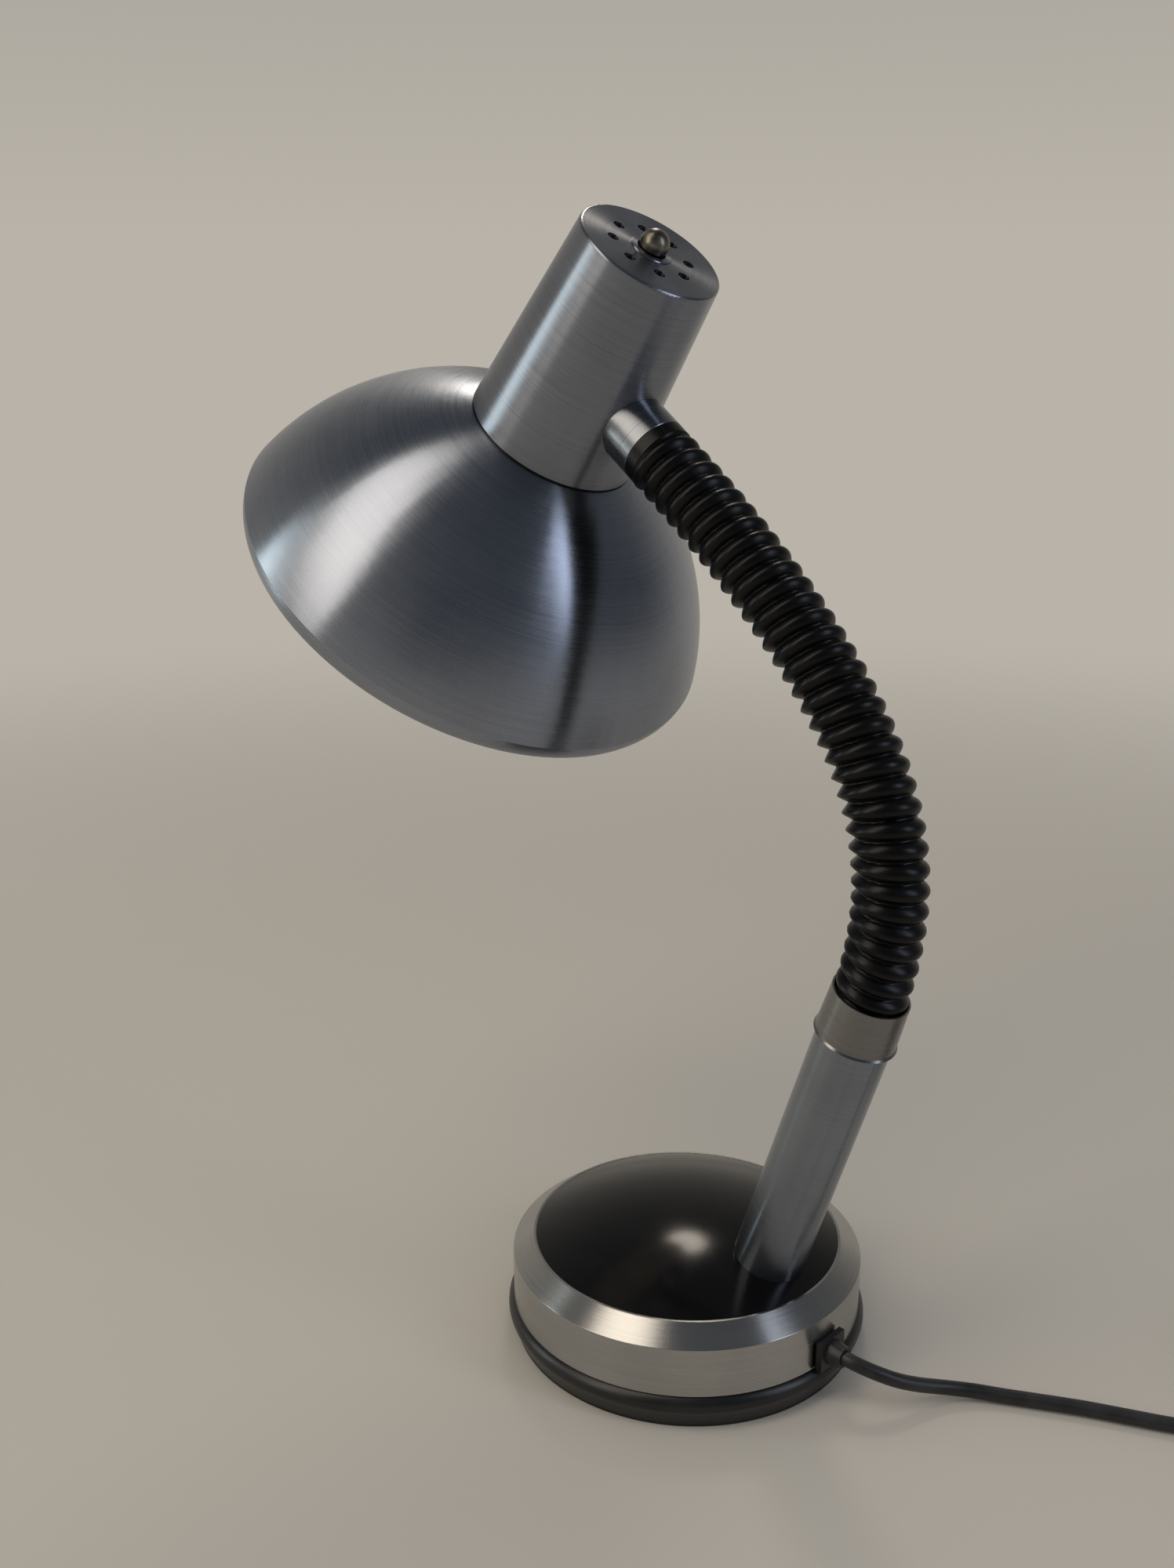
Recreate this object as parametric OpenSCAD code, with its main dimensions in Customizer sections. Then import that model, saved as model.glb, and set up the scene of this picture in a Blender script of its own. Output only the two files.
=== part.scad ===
// Articulated desk lamp: weighted round base, leaning stem, ribbed flexible neck, vented head, spun shade.
// Millimetres, +Z up. The origin is the middle of the base on the table, the stem stands at +X,
// the neck bends over in the XZ plane and the head hangs at -X.

/* [Base] */
// outer diameter of the aluminium base ring
ring_d = 145; // [120:0.5:180]
// height of the ring's upright wall
ring_wall_h = 20.5; // [12:0.5:30]
// height of the ring's bevel
bevel_h = 6.5; // [3:0.5:12]
// width of the ring's bevel, seen from above
bevel_w = 9.5; // [5:0.5:14]
// sheet thickness of the ring
ring_t = 2.5; // [1.5:0.1:4]
// outer diameter of the rubber foot ring at its bead
foot_d = 149.5; // [124:0.5:186]
// height of the foot ring under the aluminium ring
foot_h = 14; // [9:0.5:20]
// width of the foot ring's tread
foot_w = 7; // [4:0.5:10]
// rise of the black enamelled plate in its middle
plate_rise = 14; // [2:0.5:18]
// sheet thickness of the enamelled plate
plate_t = 2; // [1:0.1:3]
// height of the iron ballast disc
ballast_h = 20; // [14:0.5:24]
// thickness of the bottom cover
cover_t = 1.5; // [1:0.1:3]

/* [Stem] */
// distance of the stem from the base's middle, at the plate's edge height
stem_x = 41; // [30:0.5:46]
// lean of the stem away from the middle, in degrees
stem_lean = 18; // [0:0.5:25]
// outer diameter of the stem tube
stem_d = 28.5; // [22:0.1:34]
// wall of the stem tube
stem_t = 1.5; // [1:0.1:3]
// length of the stem from the plate's edge height to the start of the neck
stem_l = 129; // [90:1:160]
// outer diameter of the ferrule cup at its lower edge
ferrule_d = 30.6; // [26:0.1:38]
// outer diameter of the ferrule cup at its rim
ferrule_top_d = 29.3; // [25:0.1:37]
// length of the ferrule cup
ferrule_l = 19.2; // [16:0.1:32]
// length of the ferrule above the start of the neck's bend
ferrule_lip = 11.3; // [9:0.1:14]

/* [Neck] */
// length of one neck link along the middle line
link_l = 22.54; // [19:0.01:26]
// outer diameter over the sleeve's ribs
sleeve_d = 27.6; // [24:0.1:30]
// depth of the sleeve's ribs
rib_h = 3.2; // [1.5:0.1:3.6]
// wall of the sleeve between its ribs
sleeve_t = 0.8; // [0.6:0.1:1.2]
// outer diameter of the steel core links
core_d = 17.6; // [15:0.1:18]
// diameter of the ball that joins two core links
ball_d = 13.6; // [11:0.1:14]
// diameter of the neck between a ball and its link
ball_neck_d = 8.4; // [7.5:0.1:9]
// diameter of the hinge pins on the balls
pin_d = 3; // [2:0.1:3.4]
// bore of the core for the wires
core_bore = 6; // [3:0.5:7]
// length of the smooth cuff at the sleeve's upper end
cuff_l = 5.2; // [3:0.2:9]

/* [Head] */
// diameter of the housing at its top
housing_top_d = 56.6; // [46:0.2:70]
// diameter of the housing at the shade
housing_low_d = 69; // [56:0.2:84]
// length of the housing
housing_l = 83; // [70:0.5:100]
// sheet thickness of the housing
housing_t = 1.4; // [1:0.1:2.5]
// rounding of the housing's top edge
housing_round = 1; // [0.5:0.1:6]
// number of vent holes in the top
vent_n = 8; // [4:1:16]
// diameter of a vent hole
vent_d = 4.4; // [2:0.1:6]
// radius of the circle that the vent holes stand on
vent_r = 15.6; // [11:0.1:20]
// distance of the neck's collar below the housing's top
collar_drop = 55; // [42:0.5:62]
// distance of the collar's end from the housing's axis
collar_reach = 39.5; // [37:0.5:48]
// outer diameter of the collar
collar_d = 27; // [20:0.1:32]
// diameter of the switch button's ball
ball_knob_d = 11; // [8:0.1:16]
// height of the ball's middle over the housing's top
ball_knob_h = 2.7; // [2.6:0.1:8]
// stroke of the switch button
press_stroke = 2.5; // [1:0.1:4]
// outer diameter of the switch bush
bush_d = 16.4; // [15:0.1:20]

/* [Shade] */
// largest diameter of the shade
shade_d = 205; // [170:1:240]
// distance of the shade's widest ring from the housing's top
shade_wide_l = 156; // [140:1:180]
// distance of the shade's rim from the housing's top
shade_rim_l = 163.5; // [150:0.5:190]
// radius of the dome's curve in section
shade_curve_r = 116; // [105:1:140]
// radius of the inward turn at the rim
rim_turn_r = 13; // [9:0.5:20]
// sheet thickness of the shade
shade_t = 1.2; // [0.8:0.1:2]

/* [Lampholder and bulb] */
// diameter of the bulb's screw cap
cap_d = 26; // [26:0.1:27]
// outer diameter of the lampholder
holder_d = 40; // [36:0.5:44]
// length of the lampholder
holder_l = 48; // [40:0.5:54]
// diameter of the bulb's globe
globe_d = 55; // [45:1:60]
// length of the bulb out of its holder
bulb_out_l = 76; // [60:1:90]

/* [Cord] */
// diameter of the mains cord
cord_d = 5.8; // [5:0.1:7]
// length of the cord gland outside the wall
gland_out_l = 9; // [6:0.5:14]
// height of the gland's middle above the table
gland_z = 19.5; // [17:0.5:24]
// loops of the put-away coil in one layer
coil_turns = 3; // [2:1:4]
// distance between two loops side by side
coil_pitch = 6.5; // [6.3:0.1:9]
// innermost bend radius of the coil
coil_in_r = 27; // [23:0.5:30]
// thickness of the coil's tie
tie_t = 1.2; // [0.8:0.1:2]
// width of the coil's tie
tie_w = 9; // [6:0.5:14]

/* [Fits] */
// clearance between pieces fixed to each other
fit_gap = 0.1; // [0.05:0.01:0.3]
// clearance between pieces that move on each other
move_gap = 0.3; // [0.2:0.05:0.6]
// radial clearance of the button's shaft
shaft_gap = 0.05; // [0.02:0.01:0.1]

/* [Hidden] */
$fn = 64;
// a cut that runs right through is this deep, or passes a face by this much
deep = 80;
over = 2;

// base
ring_r = ring_d / 2;
foot_r = foot_d / 2;
ring_top_z = foot_h + ring_wall_h + bevel_h;
plate_r = ring_r - bevel_w;
plate_z = ring_top_z;
plate_low_z = ring_top_z - plate_t;
plate_edge_r = plate_r - fit_gap;
ledge_r = plate_r - 2.5;
plate_ball_r = (plate_edge_r * plate_edge_r + plate_rise * plate_rise) / (2 * plate_rise);
cover_z = 2.5;
ballast_z = cover_z + cover_t + fit_gap / 2;
foot_bead = 2.25;
foot_seat_r = foot_r - foot_bead;
foot_in_r = foot_seat_r - foot_w - 1;
bead_r = 4.6;
tread_round = 1.4;
foot_step = 3;
ledge_t = 1.6;
ballast_gap = 2;
ballast_r = min(foot_in_r, ring_r - ring_t - foot_step) - ballast_gap;
cover_r = foot_in_r + foot_step;
boss_l = 14;
nut_room_d = 30;
screw_d = 3.2;
screw_head_d = 7;
screw_head_h = 1.7;
screw_l = 8;
screw_turns = [60, 180, 300];
screw_inset = 8;
boss_d = stem_d + 8;

// stem and ferrule
stem_r = stem_d / 2;
stem_in_r = stem_r - stem_t;
stem_drop = 10;
stem_floor = 3;
nipple_out = 2;
nipple_d = 10;
nipple_t = 1.2;
nut_af = 17;
nut_h = 5;
ferrule_in_r = ferrule_top_d / 2 - 0.7;
ferrule_floor = 2.5;
ferrule_grip = 3;
ferrule_z = stem_l + ferrule_lip - ferrule_l;
ferrule_edge_w = 0.6;
ferrule_edge_h = 0.8;
stem_top = ferrule_z + ferrule_grip;
sleeve_start = stem_top + ferrule_floor + fit_gap - stem_l;

// turning of the neck, link after link, in degrees
neck_turn = [5, 10, 14, 13, 10, 6.5, 4.5, 3, 2.5, 2.5, 0];
link_n = len(neck_turn);
core_r = core_d / 2;
core_tail_r = core_r - 0.8;
core_tail_l = 6;
socket_lip = 3.2;
link_shoulder = 2.2;
pin_inset = 0.2;
ball_r = ball_d / 2;
sleeve_r = sleeve_d / 2;
sleeve_root_r = sleeve_r - rib_h;
sleeve_bore_r = sleeve_root_r - sleeve_t;
cuff_r = sleeve_r - 0.3;
sleeve_sides = 12;
rib_steps = 13;
ring_step = link_l / rib_steps;
rib_pitch = 4 * ring_step;
link_gap = 0.1;
stub_rings = max(1, floor(-sleeve_start / ring_step));

function sum_to(list, k) = k <= 0 ? 0 : list[k - 1] + sum_to(list, k - 1);
function heading(k) = 90 - stem_lean + sum_to(neck_turn, k);
function chord_of(turn) = abs(turn) < 0.01 ? link_l : link_l * sin(turn / 2) / (turn / 2 * PI / 180);
function chord_dir(k) = heading(k) + neck_turn[k] / 2;
function ray_xz(a) = [cos(a), 0, sin(a)];
neck_foot = [stem_x + stem_l * sin(stem_lean), 0, plate_z + stem_l * cos(stem_lean)];
function neck_node(k) = k <= 0 ? neck_foot
    : neck_node(k - 1) + chord_of(neck_turn[k - 1]) * ray_xz(chord_dir(k - 1));
// heading and place on the middle line at a share t of link k
function line_head(k, t) = heading(k) + neck_turn[k] * t;
function line_at(k, t) = neck_node(k) + t * link_l * ray_xz(heading(k) + neck_turn[k] * t / 2)
    * (abs(neck_turn[k] * t) < 0.01 ? 1 : sin(neck_turn[k] * t / 2) / (neck_turn[k] * t / 2 * PI / 180));

// housing, collar and switch
head_tilt = 180 - heading(link_n);
housing_top_r = housing_top_d / 2;
housing_low_r = housing_low_d / 2;
housing_in_r = housing_top_r - housing_t;
housing_fillet = 1.5;
vent_start = 0.35;
taper = atan((housing_low_r - housing_top_r) / housing_l);
function housing_r(d) = housing_top_r + (housing_low_r - housing_top_r) * d / housing_l;
collar_r = collar_d / 2;
collar_in_r = core_r + fit_gap;
collar_sunk = 8;
core_reach = collar_reach - housing_r(collar_drop) + housing_t + collar_sunk;
collar_nut_af = 22;
collar_nut_h = 4;
collar_nut_r = collar_nut_af / 2 / cos(30);
// the nut's flat face lies against the housing's wall at the nut's corners
nut_wall_r = housing_r(collar_drop - collar_nut_r) - housing_t;
collar_nut_x = sqrt(nut_wall_r * nut_wall_r - pow(collar_nut_af / 2, 2)) - fit_gap;
bush_h = 0.4;
bush_bore = ball_knob_d + 2 * move_gap;
bush_barrel = bush_bore + 2;
bush_l = 7;
button_shaft = 5;
button_l = 12;
switch_l = 20;
switch_d = 17;

// lampholder, shade and bulb
holder_r = holder_d / 2;
holder_top = housing_l - holder_l + 4;
holder_low = holder_top + holder_l;
holder_round = 8;
spacer_d = 12;
spacer_bore = 8;
thread_room = 1.2;
shell_t = 1.1;
shell_r = cap_d / 2 + thread_room + shell_t;
shell_inset = 8;
shell_l = holder_l - 20;
contact_drop = 10.5;
contact_l = 10;
contact_w = 6;
contact_t = 0.5;
contact_d = 5;
shade_r = shade_d / 2;
shade_hole_r = holder_r + fit_gap;
gasket_t = 1.2;
gasket_inset = 0.9;
shade_seat_l = housing_l + gasket_t;
screw_ring_w = 5;
screw_ring_h = 7;
// middle of the dome's curve, so that it passes the seat and the widest ring
dome_chord = sqrt(pow(shade_wide_l - shade_seat_l, 2) + pow(shade_r - housing_low_r, 2));
dome_drop = sqrt(shade_curve_r * shade_curve_r - dome_chord * dome_chord / 4);
dome_mid_l = (shade_wide_l + shade_seat_l) / 2 + dome_drop * (shade_r - housing_low_r) / dome_chord;
dome_mid_r = (shade_r + housing_low_r) / 2 - dome_drop * (shade_wide_l - shade_seat_l) / dome_chord;
cap_r = cap_d / 2;
cap_top = holder_top + 16;
cap_l = 24;
cap_low = cap_top + cap_l;
cap_tip_r = 4.5;
cap_tip_l = 3;
bulb_step = 1.6;
globe_r = globe_d / 2;
globe_t = 1.5;
globe_z = globe_r - cap_low - bulb_out_l;
globe_neck_l = 14;

// cord clamp and terminals
cord_z = cord_d / 2;
clamp_l = 10;
clamp_w = 18;
clamp_x = ballast_r - 3 - clamp_l;
clamp_z = gland_z - cord_d / 2 - 5;
terminal_x = 40;
terminal_l = 17;
terminal_w = 24;
terminal_h = 11;
wire_d = 3.6;
wire_z = 4.5;

// free stretch of the cord, chosen by hand
gland_x = ring_r + gland_out_l;
cord_route = [
    [gland_x - 4, 0, gland_z], [gland_x + 0.4, 0, gland_z], [gland_x + 5, 0.9, gland_z - 0.8],
    [gland_x + 11.5, 4.5, gland_z - 3.2], [gland_x + 17.5, 10.5, gland_z - 6.7],
    [gland_x + 22.5, 18.5, gland_z - 10.4], [gland_x + 28, 27.5, gland_z - 13.6],
    [gland_x + 36, 36, cord_z + 1], [gland_x + 46, 43, cord_z], [gland_x + 58, 50, cord_z],
    [gland_x + 72, 58, cord_z], [gland_x + 86, 65, cord_z], [gland_x + 100, 72, cord_z],
    [gland_x + 114, 80, cord_z], [gland_x + 128, 88, cord_z], [gland_x + 142, 96, cord_z + 0.6],
    [gland_x + 155, 103.6, cord_z + tie_t], [gland_x + 168, 111.2, cord_z + tie_t]];
cord_dir = 30;

// plug
plug_h = 13.6;
plug_w = 26;
plug_l = 36;
plug_shoulder = 18;
plug_neck_l = 6;
plug_neck_w = 12;
plug_tail_l = 4;
plug_tail_w = 10;
grip_x = 22;
grip_w = 8;
grip_deep = 1.2;
plug_pin_d = 4;
plug_pin_l = 18;
plug_pin_gap = 18.6;
plug_pin_tip = 1;

// coil
coil_z = cord_z + tie_t;
coil_lift = cord_d + 0.6;
coil_out_r = coil_in_r + coil_pitch * (coil_turns + 0.5);
coil_from = cord_dir - 90;
cord_end = cord_route[len(cord_route) - 1];
coil_mid = cord_end - coil_out_r * [cos(coil_from), sin(coil_from), 0];
coil_steps = 24;
half_loop = coil_steps / 2;
coil_low_n = coil_steps * coil_turns + half_loop;
coil_top_n = coil_steps * coil_turns - 4;
// one point of the coil: the lower layer winds in, climbs on its innermost half loop, the upper winds out
function ease(c) = c * c * (3 - 2 * c);
function coil_at(a, r, lift) = coil_mid + [r * cos(a), r * sin(a), lift];
function coil_turn(i) = coil_from + 360 * i / coil_steps;
function coil_low(i) = coil_at(coil_turn(i), coil_out_r - coil_pitch * i / coil_steps,
    coil_lift * ease(max(0, i - coil_steps * coil_turns) / half_loop));
function coil_top(i) = coil_at(coil_turn(coil_low_n + i),
    coil_in_r + coil_pitch * (i < half_loop ? i / half_loop : 1 + (i - half_loop) / coil_steps), coil_lift);
coil_end_a = coil_turn(coil_low_n + coil_top_n);
coil_end = coil_top(coil_top_n);
tail_l = 45;
tail_flat = 8;
tail_fall = 32;
tail_drop = coil_z + coil_lift - plug_h / 2;
function tail_pt(d) = coil_end + [d * cos(coil_end_a + 90), d * sin(coil_end_a + 90),
    -tail_drop * ease(min(1, max(0, (d - tail_flat) / tail_fall)))];
tie_turn = 100;
coil_end_r = norm([coil_end[0] - coil_mid[0], coil_end[1] - coil_mid[1]]);
cord_way = unit(cord_end - cord_route[len(cord_route) - 2]);
coil_route = concat([cord_end + fit_gap * cord_way, cord_end + 1.5 * cord_way],
    [for (i = [1:coil_low_n]) coil_low(i)], [for (i = [1:coil_top_n]) coil_top(i)],
    [for (d = [5:5:tail_l]) tail_pt(d)]);
function near(list, i, skip) = min([for (j = [i + skip:len(list) - 1]) norm(list[i] - list[j])]);
coil_gap = min([for (i = [0:len(coil_route) - 10]) near(coil_route, i, 9)]) - cord_d;
echo(coil_gap = coil_gap);
function path_len(list, k = 0) = k >= len(list) - 1 ? 0
    : norm(list[k + 1] - list[k]) + path_len(list, k + 1);
echo(cord_length = path_len(cord_route) + path_len(coil_route));

// sweeps a ring of points along a route
function unit(v) = v / norm(v);
function tangent(p, i) = unit(p[min(i + 1, len(p) - 1)] - p[max(i - 1, 0)]);
function side_of(t) = unit(cross(t, [0, 0, 1]));
function tube_ring(p, i, r, n) = let (t = tangent(p, i), s = side_of(t), u = cross(s, t))
    [for (j = [0:n - 1]) p[i] + r * (cos(360 * j / n) * s + sin(360 * j / n) * u)];
function strip(a, b, n) = [for (j = [0:n - 1]) let (k = (j + 1) % n)
    each [[a + j, b + j, a + k], [a + k, b + j, b + k]]];
function fan(a, n, flip) = [for (j = [1:n - 2]) flip ? [a, a + j + 1, a + j] : [a, a + j, a + j + 1]];
module tube(p, r, n) {
    m = len(p);
    points = [for (i = [0:m - 1]) each tube_ring(p, i, r, n)];
    faces = concat(
        [for (i = [0:m - 2]) each strip(i * n, (i + 1) * n, n)],
        fan(0, n, false), fan((m - 1) * n, n, true));
    polyhedron(points, [for (f = faces) [f[0], f[2], f[1]]]);
}

module at_stem() {
    translate([stem_x, 0, plate_z])
        rotate([0, stem_lean, 0])
            children();
}

module at_link(k) {
    translate(neck_node(k))
        rotate([0, 90 - chord_dir(k), 0])
            children();
}

// frame of the hinge at node k, with the hinge's axis along its own z
module at_hinge(k) {
    translate(neck_node(k))
        rotate([0, 90 - heading(k), 0])
            rotate(k % 2 == 1 ? [90, 0, 0] : [0, 90, 0])
                children();
}

module at_head() {
    translate(neck_node(link_n))
        rotate([0, head_tilt, 0])
            translate([-collar_reach, 0, collar_drop])
                children();
}

module foot_ring() {
    color("#1b1b1d")
        difference() {
            rotate_extrude()
                difference() {
                    union() {
                        translate([foot_in_r, 0])
                            square([foot_seat_r - 1 - foot_in_r, foot_h - foot_step]);
                        translate([foot_seat_r - foot_w, 0])
                            square([foot_w - tread_round, foot_h]);
                        translate([foot_r - bead_r, foot_h - bead_r])
                            circle(r = bead_r);
                        polygon([
                            [foot_seat_r - foot_w, 0], [foot_seat_r - tread_round, 0],
                            [foot_r, foot_h - bead_r - 0.6], [foot_r - over, foot_h - 1],
                            [foot_seat_r - foot_w, foot_h - 1]]);
                    }
                    translate([foot_seat_r - foot_w - over, foot_h - 0.01])
                        square([foot_w + bead_r + 2 * over, bead_r]);
                    translate([0, -0.01])
                        square([cover_r, cover_z + cover_t + fit_gap + 0.01]);
                }
            gland_slot();
        }
}

module gland_slot() {
    translate([ring_r - foot_w - 4, -gland_w() / 2 - fit_gap, gland_z - gland_h() / 2 - fit_gap])
        cube([foot_w + 12, gland_w() + 2 * fit_gap, gland_h() + 2 * fit_gap]);
}

function gland_w() = cord_d + 6;
function gland_h() = cord_d + 4.4;

module base_ring() {
    color("#b9bbbd")
        difference() {
            rotate_extrude()
                difference() {
                    polygon([
                        [ring_r - ring_t, foot_h], [ring_r, foot_h], [ring_r, ring_top_z - bevel_h],
                        [plate_r + 1, ring_top_z], [plate_r, ring_top_z], [plate_r, plate_low_z - fit_gap],
                        [ledge_r, plate_low_z - fit_gap], [ledge_r, plate_low_z - ledge_t],
                        [plate_r + 1.2, plate_low_z - ledge_t],
                        [ring_r - ring_t, ring_top_z - bevel_h - 1]]);
                    translate([ring_r + 0.6, ring_top_z - bevel_h])
                        rotate(45)
                            square(1, center = true);
                }
            gland_slot();
        }
}

module base_plate() {
    color("#0c0c0d")
        difference() {
            intersection() {
                translate([0, 0, plate_z + plate_rise - plate_ball_r])
                    difference() {
                        sphere(r = plate_ball_r, $fn = 200);
                        translate([0, 0, -plate_t])
                            sphere(r = plate_ball_r, $fn = 200);
                    }
                translate([0, 0, plate_low_z - over])
                    cylinder(r = plate_edge_r, h = plate_rise + plate_t + 2 * over);
            }
            at_stem()
                cylinder(r = stem_r + fit_gap, h = deep, center = true);
        }
}

module ballast() {
    color("#4a4b4d")
        difference() {
            union() {
                translate([0, 0, ballast_z])
                    cylinder(r = ballast_r, h = ballast_h);
                intersection() {
                    at_stem()
                        translate([0, 0, -stem_drop - deep])
                            cylinder(d = boss_d, h = deep);
                    translate([0, 0, ballast_z])
                        cylinder(r = ballast_r, h = deep);
                }
            }
            at_stem()
                translate([0, 0, -deep])
                    cylinder(d = nipple_d + 2 * fit_gap, h = deep);
            at_stem()
                translate([0, 0, -stem_drop - boss_l - deep])
                    cylinder(d = nut_room_d, h = deep);
            translate([clamp_x - fit_gap, -clamp_w / 2 - fit_gap, clamp_z])
                cube([ballast_r, clamp_w + 2 * fit_gap, deep]);
            translate([clamp_x - 4, -cord_d / 2 - 1, clamp_z])
                cube([clamp_l, cord_d + 2, deep]);
            for (a = screw_turns)
                rotate(a)
                    translate([ballast_r - screw_inset, 0, ballast_z - 1])
                        cylinder(d = screw_d + 2 * fit_gap, h = screw_l + 1);
        }
}

module bottom_cover() {
    color("#2a2a2c")
        difference() {
            translate([0, 0, cover_z])
                cylinder(r = cover_r - fit_gap, h = cover_t);
            for (a = screw_turns)
                rotate(a)
                    translate([ballast_r - screw_inset, 0, cover_z - 1])
                        cylinder(d = screw_d + 0.8, h = cover_t + over);
        }
}

module cover_screws() {
    color("#8b8d90")
        for (a = screw_turns)
            rotate(a)
                translate([ballast_r - screw_inset, 0, 0])
                    difference() {
                        union() {
                            translate([0, 0, cover_z - screw_head_h])
                                cylinder(d = screw_head_d, h = screw_head_h - fit_gap / 2);
                            translate([0, 0, cover_z - 1])
                                cylinder(d = screw_d, h = ballast_z - cover_z + screw_l);
                        }
                        for (cross_turn = [45, 135])
                            translate([0, 0, cover_z - over])
                                rotate(cross_turn)
                                    cube([1, screw_head_d - 2.6, over], center = true);
                    }
}

module stem() {
    color("#b4b6b8")
        at_stem()
            difference() {
                translate([0, 0, -stem_drop])
                    cylinder(r = stem_r, h = stem_top + stem_drop);
                translate([0, 0, -stem_drop + stem_floor])
                    cylinder(r = stem_in_r, h = stem_top + stem_drop);
                translate([0, 0, -stem_drop])
                    cylinder(d = nipple_d + 2 * fit_gap, h = 2 * stem_floor + over, center = true);
            }
}

module stem_nipple() {
    color("#c8b27a")
        at_stem()
            difference() {
                translate([0, 0, -stem_drop - boss_l - nut_h - nipple_out])
                    cylinder(d = nipple_d, h = boss_l + stem_floor + 2 * (nut_h + nipple_out));
                translate([0, 0, -stem_drop])
                    cylinder(d = nipple_d - 2 * nipple_t, h = 2 * deep, center = true);
            }
}

module hex_nut(bore) {
    difference() {
        cylinder(d = nut_af / cos(30), h = nut_h, $fn = 6);
        translate([0, 0, -over / 2])
            cylinder(d = bore, h = nut_h + over);
    }
}

module stem_nut() {
    color("#c8b27a")
        at_stem() {
            translate([0, 0, -stem_drop - boss_l - nut_h - fit_gap / 2])
                hex_nut(nipple_d + 2 * fit_gap);
            translate([0, 0, -stem_drop + stem_floor + fit_gap / 2])
                hex_nut(nipple_d + 2 * fit_gap);
        }
}

module cord_gland() {
    color("#161617")
        difference() {
            union() {
                translate([ring_r - ring_t - 5, -gland_w() / 2, gland_z - gland_h() / 2])
                    cube([ring_t + 5 + 1, gland_w(), gland_h()]);
                translate([ring_r + 0.6, -gland_w() / 2 - 1.6, gland_z - gland_h() / 2 - 1.2])
                    cube([2.6, gland_w() + 3.2, gland_h() + 2.4]);
                translate([ring_r + 2, 0, gland_z])
                    rotate([0, 90, 0])
                        cylinder(d1 = cord_d + 5, d2 = cord_d + 2.4, h = gland_out_l - 2);
            }
            translate([ring_r - ring_t - 8, 0, gland_z])
                rotate([0, 90, 0])
                    cylinder(d = cord_d + 2 * fit_gap, h = gland_out_l + 20);
            cylinder(r = ring_r + fit_gap, h = gland_z + gland_h(), $fn = 180);
        }
    color("#161617")
        difference() {
            translate([ring_r - ring_t - 5, -gland_w() / 2, gland_z - gland_h() / 2])
                cube([5 + ring_t + 3, gland_w(), gland_h()]);
            translate([ring_r - ring_t - 8, 0, gland_z])
                rotate([0, 90, 0])
                    cylinder(d = cord_d + 2 * fit_gap, h = 30);
        }
}

module cord_clamp() {
    color("#d9d8d2")
        difference() {
            translate([clamp_x, -clamp_w / 2, clamp_z])
                cube([clamp_l, clamp_w, gland_z + cord_d / 2 + 2.5 - clamp_z]);
            translate([clamp_x - 5, 0, gland_z])
                rotate([0, 90, 0])
                    cylinder(d = cord_d + 2 * fit_gap, h = clamp_l + 10);
        }
}

module terminal_block() {
    color("#e6e4dc")
        translate([-terminal_x, 0, ballast_z + ballast_h])
            difference() {
                translate([0, -terminal_w / 2, 0])
                    cube([terminal_l, terminal_w, terminal_h]);
                for (y = [-terminal_w / 4, terminal_w / 4]) {
                    translate([-1, y, wire_z])
                        rotate([0, 90, 0])
                            cylinder(d = wire_d, h = terminal_l + 2);
                    for (x = [0.3, 0.7])
                        translate([terminal_l * x, y, wire_z])
                            cylinder(d = wire_d + 0.2, h = terminal_h);
                }
            }
}

module ferrule() {
    color("#bcbec0")
        at_stem()
            difference() {
                translate([0, 0, ferrule_z]) {
                    cylinder(d1 = ferrule_d, d2 = ferrule_top_d, h = ferrule_l);
                    cylinder(r1 = ferrule_d / 2 + ferrule_edge_w, r2 = ferrule_d / 2, h = ferrule_edge_h);
                }
                translate([0, 0, ferrule_z - over])
                    cylinder(r = stem_r + fit_gap, h = over + ferrule_grip + fit_gap);
                translate([0, 0, stem_top + ferrule_floor])
                    cylinder(r = ferrule_in_r, h = ferrule_l);
                translate([0, 0, ferrule_z])
                    cylinder(r = core_tail_r + fit_gap, h = ferrule_l);
            }
}

module core_body(from_z, to_z) {
    translate([0, 0, from_z])
        cylinder(r = core_r, h = to_z - from_z);
}

module core_socket(len_z) {
    translate([0, 0, len_z])
        sphere(r = ball_r + move_gap);
    translate([0, 0, -deep])
        cylinder(d = core_bore, h = deep + len_z);
}

module core_ball() {
    sphere(r = ball_r);
    cylinder(d = ball_neck_d, h = ball_r + link_shoulder + over);
}

// pin across the ball of link k, and the bore for it in the socket of the link below
module hinge_pin(k) {
    at_hinge(k)
        cylinder(d = pin_d, h = core_d - 2 * pin_inset, center = true);
}

module hinge_bore(k) {
    at_hinge(k)
        cylinder(d = pin_d + 2 * shaft_gap, h = core_d + over, center = true);
}

module core_link(k) {
    len_z = chord_of(neck_turn[k]);
    color("#77797c")
        difference() {
            union() {
                at_link(k) {
                    core_ball();
                    core_body(ball_r + link_shoulder, len_z + socket_lip);
                }
                hinge_pin(k);
            }
            at_link(k)
                core_socket(len_z);
            hinge_bore(k + 1);
        }
}

module core_first() {
    len_z = chord_of(neck_turn[0]);
    color("#77797c")
        difference() {
            union() {
                at_stem()
                    translate([0, 0, stem_top - core_tail_l])
                        cylinder(r = core_tail_r, h = stem_l - stem_top + core_tail_l + over);
                at_link(0)
                    core_body(-over / 2, len_z + socket_lip);
            }
            at_link(0)
                core_socket(len_z);
            hinge_bore(1);
        }
}

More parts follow.
